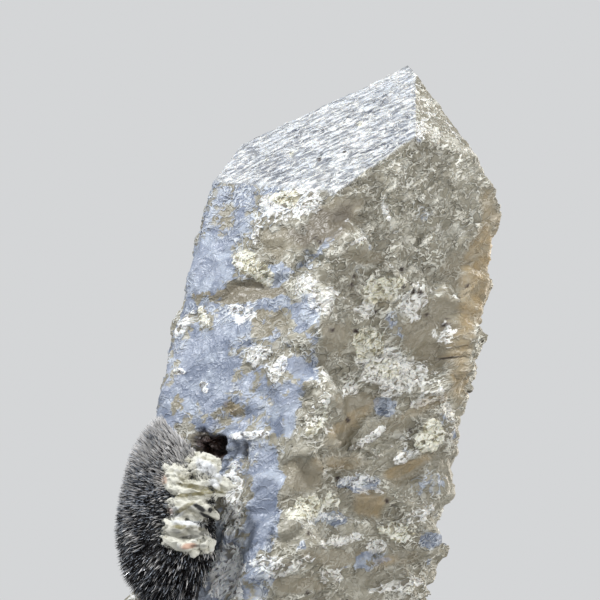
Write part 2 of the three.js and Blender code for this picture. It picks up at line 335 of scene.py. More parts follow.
@dataclass(frozen=True)
class Mark:
    """A patch on the front of a piece, placed as the camera sees it.

    x and y are pixels of the 600 by 600 picture, half_w and half_h its half sizes in pixels,
    turn its tilt in degrees against the clock, lift how far it stands proud in millimetres, and
    strength how much of its colour shows.
    """

    kind: Deposit
    x: float
    y: float
    half_w: float
    half_h: float
    turn: float = 0.0
    lift: float = 0.0
    strength: float = 1.0

    def cover(self, across: np.ndarray, down: np.ndarray, ragged: np.ndarray) -> np.ndarray:
        """Grade a tilted ellipse from 1 inside to 0 outside, with its edge shifted by noise.

        Args:
            across: pixels from the left for each point.
            down: pixels from the top for each point.
            ragged: noise that moves the edge in or out, as a share of the size.

        Returns:
            The patch's cover of each point, from 0 to 1.
        """
        angle = np.radians(self.turn)
        dx, dy = across - self.x, self.y - down
        along = (dx * np.cos(angle) + dy * np.sin(angle)) / self.half_w
        over = (dy * np.cos(angle) - dx * np.sin(angle)) / self.half_h
        return smooth_step(1.25, 0.7, np.hypot(along, over) + ragged)


def marks(kind: Deposit, rows: list) -> list:
    """Make marks of one kind.

    Args:
        kind: what the marks are.
        rows: x, y, half_w and half_h of each, and then turn, lift and strength where they differ
            from the usual ones.

    Returns:
        The marks.
    """
    return [Mark(kind, *row) for row in rows]


def dots(kind: Deposit, half: float, lift: float, places: list) -> list:
    """Make a small round mark at each place.

    Args:
        kind: what the marks are.
        half: their half size, in pixels.
        lift: how far they stand proud, in millimetres.
        places: pixels across and down, a pair to each mark.

    Returns:
        The marks.
    """
    return [Mark(kind, x, y, half, half, lift=lift) for x, y in places]


QUARTZ_MARKS = [
    *marks(Deposit.HONEY, [
        (338, 210, 24, 13, 18), (281, 241, 24, 15), (331, 224, 30, 18, 28),
        (361, 257, 22, 8, -4, 0, 0.8), (222, 222, 10, 18, -20, 0, 0.5), (246, 291, 46, 10, 6),
        (268, 322, 24, 14, 0, 0, 0.8), (337, 336, 17, 19), (436, 330, 34, 44, -20),
        (455, 275, 16, 26, -14, 0, 0.7), (352, 402, 21, 12, 8), (181, 400, 8, 9, 0, 0, 0.8),
        (372, 500, 22, 18, 0, 0, 0.9), (302, 474, 24, 16, -6, 0, 0.9),
        (339, 434, 22, 12, 34, 0, 0.9), (395, 425, 20, 9, 0, 0, 0.8),
        (410, 470, 26, 10, 28, 0, 0.9), (335, 558, 34, 9, 0, 0, 0.9),
        (298, 585, 26, 9, 0, 0, 0.9), (400, 558, 22, 8, 10, 0, 0.7),
    ]),
    # Near-black marks. The two sunk 1.2 mm are painted shade in the deep pocket beside the tuft;
    # the others darken the skin, some of them in small sunk pits and a crack.
    *marks(Deposit.DARK, [
        (322, 227, 32, 17, 26, 0, 0.42), (248, 291, 44, 9, 6, 0, 0.26),
        (325, 178, 10, 3.4, 12, -0.3, 0.25), (371, 354, 7, 4, 14, -0.4, 0.3),
        (244, 450, 2.4, 11, 0, -0.4, 0.45), (207, 444, 17, 12, -12, -1.2),
        (212, 457, 13, 13, 20, -1.2), (179.5, 372, 3.4, 1.5, -8, -0.45, 0.6),
        (202.5, 385, 1.2, 3.4, 14, -0.45, 0.5),
    ]),
    # On the quartz the AMBER marks paint a glow of warm light shining through the glass from
    # behind, brightest along the right edge; on the clay they are rusty spots.
    *marks(Deposit.AMBER, [
        (352, 420, 32, 6, 32, 0, 0.5), (408, 467, 28, 6, 28, 0, 0.7),
        (425, 405, 26, 6, 28, 0, 0.5), (478, 280, 14, 62, -10, 0, 0.9),
        (462, 356, 12, 44, -8, 0, 0.7), (490, 214, 8, 24, 10, 0, 0.6),
        (233, 408, 10, 6, -30, 0, 0.6), (384, 300, 10, 8, 20, 0, 0.3),
        (370, 503, 14, 15, 0, 0, 0.6), (339, 463, 28, 7, 4, 0, 0.5),
        (385, 562, 12, 6, 20, 0, 0.5),
    ]),
    *marks(Deposit.BLUE, [
        (212, 262, 26, 32, 8, 0, 0.9), (206, 372, 30, 48, -6), (252, 388, 20, 24, 0, 0, 0.6),
        (283, 410, 15, 34, -12, 0, 0.7), (265, 495, 17, 54, -5), (300, 369, 18, 12, -18),
        (305, 315, 13, 24, 0, 0, 0.9), (324, 246, 16, 4, 42, 0.1, 0.6),
        (386, 408, 13, 10, -10, 0, 0.8), (358, 484, 26, 8, 4, 0.3, 0.9),
        (333, 519, 20, 9, 4, 0, 0.7), (431, 540, 15, 9, 0, 0, 0.8), (428, 482, 20, 12, 0, 0, 0.5),
        (212, 580, 30, 24, 40, 0, 0.8), (262, 582, 12, 26, -10, 0, 0.6),
        (372, 560, 24, 9, 16, 0, 0.6), (280, 276, 13, 12, 0, 0, 0.8),
    ]),
    *marks(Deposit.WHITE, [
        (356, 481, 22, 6, 6, 0.2, 0.75), (330, 517, 15, 5, 4, 0.2, 0.6),
        (378, 547, 9, 8, 0, 0.35, 0.8), (330, 576, 12, 7, 0, 0.3, 0.7),
        (272, 565, 22, 11, -10, 0.2, 0.65), (420, 512, 20, 5, 22, 0.3, 0.6),
        (398, 585, 26, 6, 16, 0.3, 0.6), (324, 179, 17, 8, 12, 0.25),
        (256, 232, 3.6, 16, -10, 0.5), (358, 241, 10, 2.6, 25, 0.3, 0.8),
        (323, 300, 15, 13, 0, 0.15, 0.8), (304, 283, 9, 14, -40, 0.25, 0.8),
        (257, 355, 12, 12, 0, 0.5), (277, 369, 7, 16, -30, 0.4), (186, 322, 4.6, 16, -34, 0.35),
        (251, 435, 19, 5.5, 4, 0.5), (317, 417, 9, 25, -26, 0.1, 0.5),
        (368, 438, 20, 4.4, 36, 0.5), (428, 398, 22, 5.5, 26, 0.35, 0.8),
        (449, 409, 5, 15, 28, 0.3, 0.8), (405, 457, 14, 5, 24, 0.35, 0.8),
        (446, 334, 12, 13, 30, 0.15, 0.55), (414, 302, 14, 20, -24, 0.35, 0.8),
        (393, 372, 37, 22, -12, 0.3, 0.85), (352, 388, 7, 7, 0, 0.2, 0.8),
        (366, 310, 8, 10, 0, 0.3, 0.9), (420, 128, 10, 8, -30, 0.1, 0.6),
        (390, 215, 5, 20, 22, 0.2, 0.7), (289, 204, 34, 17, 18, 0, 0.85),
        # The marks at 231, 500 and 224, 572 are painted light: they lighten the recess right of the
        # clay, which lies in the tuft's shadow.
        (241, 313, 14, 9, 0, 0, 0.6), (231, 500, 12, 40, -4, 0, 0.8),
        (224, 572, 18, 30, -4, 0, 0.85), (300, 565, 22, 6, 20, 0.25, 0.6),
        (410, 520, 26, 6, 24, 0.3, 0.6), (345, 540, 28, 5, 10, 0.3, 0.6),
        (179, 371, 6.5, 3.6, -8, 0.25), (203, 387, 3.4, 7, 14, 0.25),
    ]),
    *marks(Deposit.CREAM, [
        (398, 532, 21, 9, -10, 0.35, 0.8), (318, 424, 9, 22, -30, 0.2, 0.5),
        (382, 370, 20, 13, -10, 0.3, 0.6), (287, 198, 14, 9, 0, 0.3, 0.9),
        (249, 264, 19, 11, -26, 0.5), (262, 274, 9, 12, 40, 0.35, 0.8),
        (205, 318, 4.6, 15, 28, 0.5), (380, 290, 24, 14, 6, 0.35, 0.8),
        (368, 344, 16, 18, -20, 0.4), (430, 437, 15, 17, -20, 0.5),
        (309, 506, 26, 12, 24, 0.3, 0.7), (358, 246, 12, 3, 25, 0.2, 0.6),
        (300, 345, 8, 6, 0, 0.15, 0.4),
    ]),
    *marks(Deposit.SLATE, [
        (226, 478, 6, 20, -6, 0, 0.4), (214, 425, 14, 9, 20, 0, 0.6),
    ]),
    *dots(Deposit.CREAM, 2.6, 0.15, [(359, 123), (292, 153), (266, 158)]),
    *dots(Deposit.DARK, 2.3, 0.0, [
        (315, 238), (320, 241), (403, 268), (354, 276), (352, 285), (401, 288), (413, 291),
        (419, 293), (375, 312), (426, 314), (446, 320), (449, 324), (444, 325), (333, 330),
        (355, 331), (468, 285), (447, 357), (348, 420), (411, 430), (337, 478), (388, 501),
        (395, 506), (309, 533), (308, 593), (319, 159),
    ]),
]


@dataclass(frozen=True)
class LevelOutlines:
    """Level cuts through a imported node, measured outwards from a line inside it."""

    node: str

    def triangles(self) -> np.ndarray:
        """Read the node's triangles.

        Returns:
            Their corners in millimetres, as triangle by corner by axis, lowest corner first.
        """
        mesh = bpy.data.objects[self.node].data
        places = np.empty(len(mesh.vertices) * 3)
        mesh.vertices.foreach_get("co", places)
        mesh.calc_loop_triangles()
        corners = np.empty(len(mesh.loop_triangles) * 3, np.int32)
        mesh.loop_triangles.foreach_get("vertices", corners)
        shape = places.reshape(-1, 3)[corners.reshape(-1, 3)] / MM
        order = np.argsort(shape[:, :, 2], axis=1)
        return np.take_along_axis(shape, order[:, :, None], axis=1)

    def reach(self, levels: np.ndarray, centres: np.ndarray, bearings: np.ndarray) -> np.ndarray:
        """Measure how far the node's skin is from a centre, at each level and bearing.

        A level cuts every triangle that spans it in one straight line. The reach at a bearing
        is the distance to the outermost such line that the bearing's ray crosses.

        Args:
            levels: heights of the cuts.
            centres: x and y of the centre at each level.
            bearings: angles from the front, positive to the right.

        Returns:
            The reach, as level by bearing.
        """
        low, mid, high = np.moveaxis(self.triangles(), 1, 0)
        rays = np.stack([np.sin(bearings), -np.cos(bearings)], -1)
        table = np.zeros((len(levels), len(bearings)))
        for row, level in enumerate(levels):
            cut = (low[:, 2] < level) & (high[:, 2] > level)
            a, b, c = low[cut], mid[cut], high[cut]
            long_share = ((level - a[:, 2]) / (c[:, 2] - a[:, 2]))[:, None]
            below = level < b[:, 2]
            first = np.where(below[:, None], a, b)
            last = np.where(below[:, None], b, c)
            rise = np.maximum(last[:, 2] - first[:, 2], 1e-9)
            short_share = ((level - first[:, 2]) / rise)[:, None]
            start = (a + (c - a) * long_share)[:, :2] - centres[row]
            side = (first + (last - first) * short_share)[:, :2] - centres[row] - start
            over = rays[:, :1] * side[:, 1] - rays[:, 1:] * side[:, 0]
            over = np.where(np.abs(over) < 1e-12, 1e-12, over)
            from_start = rays[:, :1] * start[:, 1] - rays[:, 1:] * start[:, 0]
            along = -from_start / over
            far = (start[:, 0] * side[:, 1] - start[:, 1] * side[:, 0]) / over
            hit = (along >= -1e-6) & (along <= 1 + 1e-6) & (far > 0)
            table[row] = np.where(hit, far, 0).max(axis=1)
        return table


@dataclass(frozen=True)
class ShapedMesh:
    """Points, faces and per-point values that are ready to be made a Blender mesh."""

    points: np.ndarray
    quads: np.ndarray
    triangles: np.ndarray
    values: dict

    def outward(self) -> "ShapedMesh":
        """Turn the faces round where the enclosed volume comes out negative.

        Returns:
            The mesh with its faces outwards.
        """
        split = [self.triangles, self.quads[:, [0, 1, 2]], self.quads[:, [0, 2, 3]]]
        a, b, c = np.moveaxis(self.points[np.concatenate(split)], 1, 0)
        if np.einsum("ij,ij->i", a, np.cross(b, c)).sum() >= 0:
            return self
        flipped = self.quads[:, ::-1], self.triangles[:, ::-1]
        return ShapedMesh(self.points, *flipped, self.values)

    def build(self, name: str, material: Material, smooth: bool) -> Object:
        """Put the arrays into a mesh object whose origin is the frame's.

        Args:
            name: the piece's name.
            material: its finish.
            smooth: whether it is shaded smooth.

        Returns:
            The new object.
        """
        mesh = bpy.data.meshes.new(name)
        counts = np.concatenate([np.full(len(self.quads), 4), np.full(len(self.triangles), 3)])
        loops = np.concatenate([self.quads.ravel(), self.triangles.ravel()]).astype(np.int32)
        mesh.vertices.add(len(self.points))
        mesh.vertices.foreach_set("co", (self.points * MM).astype(np.float32).ravel())
        mesh.loops.add(len(loops))
        mesh.loops.foreach_set("vertex_index", loops)
        mesh.polygons.add(len(counts))
        starts = np.concatenate([[0], np.cumsum(counts)[:-1]]).astype(np.int32)
        mesh.polygons.foreach_set("loop_start", starts)
        mesh.polygons.foreach_set("use_smooth", np.full(len(counts), smooth))
        mesh.update(calc_edges=True)
        for key, value in self.values.items():
            layer = mesh.attributes.new(key, "FLOAT", "POINT")
            layer.data.foreach_set("value", np.asarray(value, np.float32))
        mesh.materials.append(material)
        mesh.validate()
        piece = bpy.data.objects.new(name, mesh)
        bpy.context.scene.collection.objects.link(piece)
        return piece


def joined(parts: list) -> ShapedMesh:
    """Lay several shaped meshes side by side in one.

    Args:
        parts: the meshes, all with values of the same names.

    Returns:
        One mesh with all their faces.
    """
    starts = np.cumsum([0] + [len(part.points) for part in parts])
    return ShapedMesh(
        np.concatenate([part.points for part in parts]),
        np.concatenate([part.quads + start for part, start in zip(parts, starts)]),
        np.concatenate([part.triangles + start for part, start in zip(parts, starts)]),
        {key: np.concatenate([p.values[key] for p in parts]) for key in parts[0].values},
    )


def ring_grid(rows: int, columns: int) -> tuple:
    """Number the faces of a stack of rings that is closed by a point at each end.

    The points run ring by ring, and then come the first end's and the last end's.

    Args:
        rows: how many rings there are.
        columns: how many points each ring has.

    Returns:
        The four-sided faces between the rings and the three-sided ones at the ends.
    """
    row, column = np.meshgrid(np.arange(rows - 1), np.arange(columns), indexing="ij")
    after = (column + 1) % columns
    here, there = row * columns, (row + 1) * columns
    quads = np.stack([here + column, here + after, there + after, there + column], -1)
    around = np.arange(columns)
    beyond = (around + 1) % columns
    first = np.full(columns, rows * columns)
    top = (rows - 1) * columns
    fans = [
        np.stack([first, beyond, around], -1),
        np.stack([first + 1, top + around, top + beyond], -1),
    ]
    return quads.reshape(-1, 4), np.concatenate(fans)


class Bench:
    """A node tree, with short calls that place its nodes and join them."""

    def __init__(self, tree: NodeTree) -> None:
        """Work on this tree."""
        self.tree = tree

    def put(self, kind: str, inputs: dict | None = None, **settings: object) -> Node:
        """Add a node.

        Args:
            kind: Blender's name for the node's type.
            inputs: values or sockets, by the name or number of the input they go to.
            settings: the node's own properties.

        Returns:
            The node.
        """
        node = self.tree.nodes.new(kind)
        for key, value in settings.items():
            setattr(node, key, value)
        for key, value in (inputs or {}).items():
            if isinstance(value, NodeSocket):
                self.tree.links.new(value, node.inputs[key])
            else:
                node.inputs[key].default_value = value
        return node

    def math(self, operation: str, *terms: object) -> NodeSocket:
        """Join numbers by an operation of the Math node."""
        return self.put("ShaderNodeMath", dict(enumerate(terms)), operation=operation).outputs[0]

    def times(self, first: object, *factors: object) -> NodeSocket:
        """Multiply numbers, from the first to the last."""
        for factor in factors:
            first = self.math("MULTIPLY", first, factor)
        return first

    def plus(self, first: object, *terms: object) -> NodeSocket:
        """Add numbers, from the first to the last."""
        for term in terms:
            first = self.math("ADD", first, term)
        return first

    def larger(self, one: object, other: object) -> NodeSocket:
        """Take the larger of two numbers."""
        return self.math("MAXIMUM", one, other)

    def less(self, share: object) -> NodeSocket:
        """Take a share away from 1."""
        return self.math("SUBTRACT", 1.0, share)

    def vector(self, operation: str, *terms: object) -> NodeSocket:
        """Join vectors by an operation of the Vector Math node."""
        node = self.put("ShaderNodeVectorMath", dict(enumerate(terms)), operation=operation)
        return node.outputs["Value" if operation == "DOT_PRODUCT" else "Vector"]

    def scaled(self, vector: object, factor: object) -> NodeSocket:
        """Scale a vector by a number."""
        node = self.put("ShaderNodeVectorMath", {0: vector, "Scale": factor}, operation="SCALE")
        return node.outputs[0]

    def group(self, tree: NodeTree, vector: object, **inputs: object) -> NodeOutputs:
        """Place a node group that reads a vector, and give its outputs."""
        return self.put("ShaderNodeGroup", {"Vector": vector, **inputs}, node_tree=tree).outputs

    def grade(
        self, value: object, low: float, high: float, start: float = 0.0, end: float = 1.0
    ) -> NodeSocket:
        """Grade a number smoothly from start at low to end at high."""
        inputs = {0: value, 1: low, 2: high, 3: start, 4: end}
        return self.put("ShaderNodeMapRange", inputs, interpolation_type="SMOOTHSTEP").outputs[0]

    def mix(self, share: object, under: object, over: object) -> NodeSocket:
        """Lay one colour over another by a share."""
        inputs = {0: share, 6: under, 7: over}
        return self.put("ShaderNodeMix", inputs, data_type="RGBA", clamp_factor=True).outputs[2]

    def attribute(self, name: str) -> NodeSocket:
        """Read a value that the mesh keeps at its points."""
        return self.put("ShaderNodeAttribute", attribute_name=name).outputs["Fac"]

    def places(self) -> NodeSocket:
        """Read the place on the piece, in metres."""
        return self.put("ShaderNodeTexCoord").outputs["Object"]

    def noise(self, vector: object, scale: object, detail: float) -> NodeSocket:
        """Read Blender's own noise."""
        inputs = {"Vector": vector, "Scale": scale, "Detail": detail}
        return self.put("ShaderNodeTexNoise", inputs).outputs[0]

    def lead(self, shader: Node, colour: object, matt: object) -> None:
        """Lead a colour and a roughness to the shader."""
        self.tree.links.new(colour, shader.inputs["Base Color"])
        self.tree.links.new(matt, shader.inputs["Roughness"])

    def emboss(self, shader: Node, height: object, strength: float, depth: float) -> None:
        """Lead a height to the shader's normal, through a Bump node.

        Args:
            shader: the material's shader.
            height: the height to lead.
            strength: the Bump node's strength.
            depth: the Bump node's distance, in metres.
        """
        inputs = {"Height": height, "Strength": strength, "Distance": depth}
        bump = self.put("ShaderNodeBump", inputs)
        self.tree.links.new(bump.outputs[0], shader.inputs["Normal"])


class StoneEffects:
    """The effects that several finishes share, each one a node group built once."""

    def __init__(self) -> None:
        """Build every group."""
        self.scales = self.build_scales()
        self.curls = self.build_curls()
        self.specks = self.build_specks()
        self.streaks = self.build_streaks()
        self.patch = self.build_patch()

    def start(self, name: str, inputs: dict, outputs: list) -> tuple:
        """Start a node group.

        Args:
            name: its name.
            inputs: a default value for each input's name. It is None or three numbers for a
                vector, and one number for a number.
            outputs: names of its number outputs.

        Returns:
            The group, a bench on it, its input node's outputs and its output node's inputs.
        """
        tree = bpy.data.node_groups.new(name, "ShaderNodeTree")
        for key, value in inputs.items():
            kind = "NodeSocketFloat" if isinstance(value, float) else "NodeSocketVector"
            socket = tree.interface.new_socket(key, in_out="INPUT", socket_type=kind)
            if value is not None:
                socket.default_value = value
        for key in outputs:
            tree.interface.new_socket(key, in_out="OUTPUT", socket_type="NodeSocketFloat")
        bench = Bench(tree)
        return tree, bench, bench.put("NodeGroupInput").outputs, bench.put("NodeGroupOutput").inputs

    def drawn_out(self, bench: Bench, given: NodeOutputs) -> NodeSocket:
        """Draw a pattern out along a direction, by keeping a share of the place along it.

        Args:
            bench: the group's bench.
            given: the group's inputs, with Vector, Along and Keep among them.

        Returns:
            The places to read the pattern at.
        """
        along = bench.vector("DOT_PRODUCT", given["Vector"], given["Along"])
        lost = bench.times(along, bench.less(given["Keep"]))
        return bench.vector("SUBTRACT", given["Vector"], bench.scaled(given["Along"], lost))

    def bent(
        self, bench: Bench, given: NodeOutputs, pace: float, detail: float
    ) -> NodeSocket:
        """Draw a pattern out, and push its places about by soft noise.

        Args:
            bench: the group's bench.
            given: the group's inputs, with Scale and Bend beside those for drawing out.
            pace: the noise's scale, as a share of the pattern's.
            detail: the noise's detail.

        Returns:
            The places to read the pattern at.
        """
        drawn = self.drawn_out(bench, given)
        slow = bench.times(given["Scale"], pace)
        soft = bench.put("ShaderNodeTexNoise", {"Vector": drawn, "Scale": slow, "Detail": detail})
        push = bench.vector("SUBTRACT", soft.outputs["Color"], HALF_GREY)
        return bench.vector("ADD", drawn, bench.scaled(push, given["Bend"]))

    def build_scales(self) -> NodeTree:
        """Build crumpled scales.

        Every Voronoi cell is a plane with its own slope, so one side of it stands up over the
        next cell. The cell's random colour gives the slope and the tone.

        Returns:
            The group.
        """
        inputs = {"Vector": None, "Along": LEDGE_ALONG, "Keep": 0.6, "Scale": 900.0, "Bend": 0.0004}
        outputs = ["Height", "Rim", "Tone"]
        tree, bench, given, wanted = self.start("crumpled_scales", inputs, outputs)
        pushed = self.bent(bench, given, 0.8, 2.0)
        places = {"Vector": pushed, "Scale": given["Scale"]}
        cells = bench.put("ShaderNodeTexVoronoi", places).outputs
        away = bench.scaled(bench.vector("SUBTRACT", pushed, cells["Position"]), given["Scale"])
        slope = bench.vector("SUBTRACT", cells["Color"], HALF_GREY)
        lean = bench.vector("DOT_PRODUCT", away, slope)
        tone = bench.put("ShaderNodeSeparateColor", {0: cells["Color"]}).outputs[0]
        tree.links.new(bench.grade(lean, -0.3, 0.3), wanted["Height"])
        tree.links.new(bench.grade(lean, 0.06, 0.24), wanted["Rim"])
        tree.links.new(tone, wanted["Tone"])
        return tree

    def build_curls(self) -> NodeTree:
        """Build frost curls: thin winding ridges where bent noise crosses its middle value.

        Returns:
            The group.
        """
        inputs = {"Vector": None, "Along": LEDGE_ALONG, "Keep": 0.7, "Scale": 1000.0, "Bend": 0.001}
        tree, bench, given, wanted = self.start("frost_curls", inputs, ["Height", "Rim"])
        wave = bench.noise(self.bent(bench, given, 0.6, 1.0), given["Scale"], 2.0)
        off = bench.math("ABSOLUTE", bench.math("SUBTRACT", wave, 0.5))
        tree.links.new(bench.grade(off, 0.0, 0.1, 1.0, 0.0), wanted["Height"])
        tree.links.new(bench.grade(off, 0.012, 0.05, 1.0, 0.0), wanted["Rim"])
        return tree

    def build_specks(self) -> NodeTree:
        """Build small dots: cells whose own random number is low, near their seed only.

        Returns:
            The group.
        """
        inputs = {"Vector": None, "Scale": 300.0, "Share": 0.1, "Size": 0.2}
        tree, bench, given, wanted = self.start("stone_specks", inputs, ["Mask"])
        places = {"Vector": given["Vector"], "Scale": given["Scale"]}
        cells = bench.put("ShaderNodeTexVoronoi", places).outputs
        number = bench.put("ShaderNodeSeparateColor", {0: cells["Color"]}).outputs[0]
        chosen = bench.math("LESS_THAN", number, given["Share"])
        near = bench.math("LESS_THAN", cells["Distance"], given["Size"])
        tree.links.new(bench.times(chosen, near), wanted["Mask"])
        return tree

    def build_streaks(self) -> NodeTree:
        """Build fine lines: noise on places that are drawn out along one direction.

        Returns:
            The group.
        """
        inputs = {"Vector": None, "Along": (0.0, 0.0, 1.0), "Keep": 0.15, "Scale": 1200.0}
        tree, bench, given, wanted = self.start("stone_streaks", inputs, ["Line"])
        wave = bench.noise(self.drawn_out(bench, given), given["Scale"], 4.0)
        tree.links.new(bench.grade(wave, 0.38, 0.62), wanted["Line"])
        return tree

    def build_patch(self) -> NodeTree:
        """Build a ragged patch: a soft cover, cut off sharply where it and noise add up.

        Returns:
            The group.
        """
        inputs = {"Cover": 0.0, "Noise": 0.5, "Tone": 0.5}
        tree, bench, given, wanted = self.start("ragged_patch", inputs, ["Mask"])
        shift = bench.math("MULTIPLY_ADD", given["Noise"], 1.5, -0.75)
        facets = bench.math("MULTIPLY_ADD", given["Tone"], 0.34, -0.17)
        total = bench.plus(given["Cover"], bench.plus(shift, facets))
        edge = bench.grade(total, 0.36, 0.56)
        some = bench.grade(given["Cover"], 0.02, 0.15)
        tree.links.new(bench.times(edge, some), wanted["Mask"])
        return tree


def new_material(name: str) -> tuple:
    """Start a material.

    Args:
        name: its name.

    Returns:
        The material, a bench on its nodes, and its Principled node.
    """
    material = bpy.data.materials.new(name)
    material.use_nodes = True
    return material, Bench(material.node_tree), material.node_tree.nodes["Principled BSDF"]


class QuartzPatterns:
    """The patterns that the quartz's coats read, each placed once in its material."""

    def __init__(self, bench: Bench, effects: StoneEffects) -> None:
        """Place the patterns.

        Args:
            bench: the material's bench.
            effects: the shared node groups.
        """
        self.bench = bench
        self.at = at = bench.places()
        self.rough = bench.attribute("rough")
        # cap holds the bright face of the cap, which takes painted highlight.
        self.cap = bench.attribute("cap")
        self.coarse = bench.group(effects.scales, at, Scale=520.0, Bend=0.0014)
        self.fine = bench.group(effects.scales, at, Scale=1250.0, Bend=0.0007)
        self.curls = bench.group(effects.curls, at, Scale=900.0, Bend=0.0016)
        self.edge = bench.noise(at, 600.0, 5.0)
        self.drift = bench.noise(at, 130.0, 3.0)
        self.spread = bench.noise(at, 260.0, 3.0)
        self.crests = bench.larger(self.curls["Height"], bench.times(self.fine["Height"], 0.8))
        fine = bench.times(self.fine["Tone"], 0.4)
        crumple = bench.math("MULTIPLY_ADD", self.curls["Height"], 0.6, fine)
        self.patch = {}
        for kind in (Deposit.HONEY, Deposit.BLUE, Deposit.SLATE, Deposit.WHITE, Deposit.CREAM):
            cover = {"Cover": bench.attribute(kind.value), "Noise": self.edge, "Tone": crumple}
            node = bench.put("ShaderNodeGroup", cover, node_tree=effects.patch)
            self.patch[kind] = node.outputs["Mask"]


@dataclass(frozen=True)
class FrostedQuartz:
    """Milky quartz, etched matt, with blue-white bloom, cream crusts and honey-coloured glass, and
    painted light and shade laid on them.
    """

    body: tuple = (0.212, 0.194, 0.146, 1.0)
    body_pale: tuple = (0.388, 0.367, 0.296, 1.0)
    honey: tuple = (0.265, 0.232, 0.166, 1.0)
    # The painted glow of warm light shining through the glass from behind.
    amber_glow: tuple = (0.42, 0.30, 0.145, 1.0)
    white: tuple = (0.965, 0.97, 0.95, 1.0)
    cream: tuple = (0.96, 0.945, 0.80, 1.0)
    # Cream in the hollows of the crust, darkened as painted shade.
    shaded_cream: tuple = (0.46, 0.42, 0.24, 1.0)
    # The blue colours serve the bloom; on the left side it is partly painted cool light.
    blue: tuple = (0.165, 0.205, 0.30, 1.0)
    blue_pale: tuple = (0.30, 0.345, 0.45, 1.0)
    veil: tuple = (0.48, 0.54, 0.64, 1.0)
    warm_frost: tuple = (0.95, 0.94, 0.85, 1.0)
    cool_frost: tuple = (0.83, 0.90, 0.98, 1.0)
    # Painted shade for the gaps between the crusts' crests.
    gap: tuple = (0.15, 0.13, 0.09, 1.0)
    slate: tuple = (0.16, 0.19, 0.27, 1.0)
    # The cap's coat: partly real white, partly painted highlight on the face that the key light
    # strikes.
    cap_coat_and_highlight: tuple = (0.74, 0.78, 0.83, 1.0)
    streak: tuple = (0.145, 0.16, 0.20, 1.0)
    dark: tuple = (0.03, 0.014, 0.01, 1.0)
    streak_along: tuple = (0.855, 0.277, 0.439)
    honey_share: float = 0.7
    bloom_share: float = 0.9
    slate_share: float = 0.85
    cap_share: float = 0.9
    speck_share: float = 0.85
    coarse_height: float = 0.38
    fine_height: float = 0.22
    curl_height: float = 0.25
    grain_height: float = 0.07
    line_depth: float = 0.2
    refraction: float = 1.544
    milkiness: float = 0.18
    milk_depth: float = 0.0007

    def stone(self, seen: QuartzPatterns) -> NodeSocket:
        """Colour the bare stone, its honey patches, its blue bloom, which is partly painted cool
        light on the left side, and the cap's coat, which is partly painted highlight.

        Args:
            seen: the patterns to read.

        Returns:
            The colour.
        """
        bench = seen.bench
        colour = bench.mix(bench.grade(seen.drift, 0.35, 0.7), self.body, self.body_pale)
        colour = bench.mix(bench.times(seen.fine["Tone"], 0.4), colour, self.body_pale)
        honey = bench.times(seen.patch[Deposit.HONEY], self.honey_share)
        colour = bench.mix(honey, colour, self.honey)
        tone = bench.grade(bench.plus(seen.spread, seen.coarse["Tone"]), 0.5, 1.5)
        veil = bench.grade(bench.noise(seen.at, 420.0, 6.0), 0.44, 0.66, 0.0, 0.75)
        bluish = bench.mix(veil, bench.mix(tone, self.blue, self.blue_pale), self.veil)
        colour = bench.mix(bench.times(seen.patch[Deposit.BLUE], self.bloom_share), colour, bluish)
        slate = bench.times(seen.patch[Deposit.SLATE], self.slate_share)
        colour = bench.mix(slate, colour, self.slate)
        # Painted highlight: the bright face of the cap is laid over with the pale coat.
        return bench.mix(bench.times(seen.cap, self.cap_share), colour, self.cap_coat_and_highlight)

    def crusts(self, seen: QuartzPatterns, colour: object) -> NodeSocket:
        """Lay the white and cream crusts on the stone, with painted highlight on their crests and
        painted shade in their hollows and gaps, and frost with a painted highlight along every
        raised rim.

        Args:
            seen: the patterns to read.
            colour: the stone's colour.

        Returns:
            The colour with the crusts, painted shade in their gaps, and the frost with its painted
            highlight.
        """
        bench = seen.bench
        white, cream = seen.patch[Deposit.WHITE], seen.patch[Deposit.CREAM]
        # White and cream show most on the crests: partly real crust there, partly painted highlight
        # on the crests and painted shade in the hollows.
        tops = bench.grade(seen.crests, 0.12, 0.75, 0.16, 1.0)
        colour = bench.mix(bench.times(white, tops), colour, self.white)
        creamy = bench.mix(tops, self.shaded_cream, self.cream)
        caked = bench.times(cream, bench.grade(seen.crests, 0.0, 0.5, 0.6, 0.95))
        colour = bench.mix(caked, colour, creamy)
        # Painted highlight: raised rims are whitened as if they catch the light, partly a real etch
        # frost; the tint is cooler where the skin is blue.
        flakes = bench.times(bench.larger(seen.coarse["Rim"], seen.fine["Rim"]), 0.6)
        rims = bench.larger(flakes, seen.curls["Rim"])
        frost = bench.times(rims, seen.rough, bench.grade(seen.spread, 0.3, 0.62, 0.25, 0.95))
        tinted = bench.mix(bench.attribute("blue"), self.warm_frost, self.cool_frost)
        colour = bench.mix(frost, colour, tinted)
        # Painted shade: the hollows between the crests of the crusts are darkened, away from the
        # cap.
        crusted = bench.times(bench.larger(white, cream), bench.less(seen.cap))
        gap = bench.times(crusted, bench.grade(seen.crests, 0.02, 0.3, 0.75, 0.0))
        return bench.mix(gap, colour, self.gap)

    def cap_lines(self, seen: QuartzPatterns, effects: StoneEffects) -> NodeSocket:
        """Find the fine dark lines of the cap, which winding ridges of frost cut through.

        Args:
            seen: the patterns to read.
            effects: the shared node groups.

        Returns:
            How much of the lines' colour shows.
        """
        bench = seen.bench
        along = {"Along": self.streak_along}
        line = bench.group(effects.streaks, seen.at, Keep=0.24, Scale=2100.0, **along)["Line"]
        winding = bench.group(effects.curls, seen.at, Keep=0.5, Scale=1300.0, Bend=0.0014, **along)
        broken = bench.times(line, bench.less(bench.times(winding["Rim"], 0.75)))
        streaky = bench.times(seen.cap, bench.grade(seen.drift, 0.3, 0.65, 0.65, 1.0))
        return bench.times(broken, streaky)

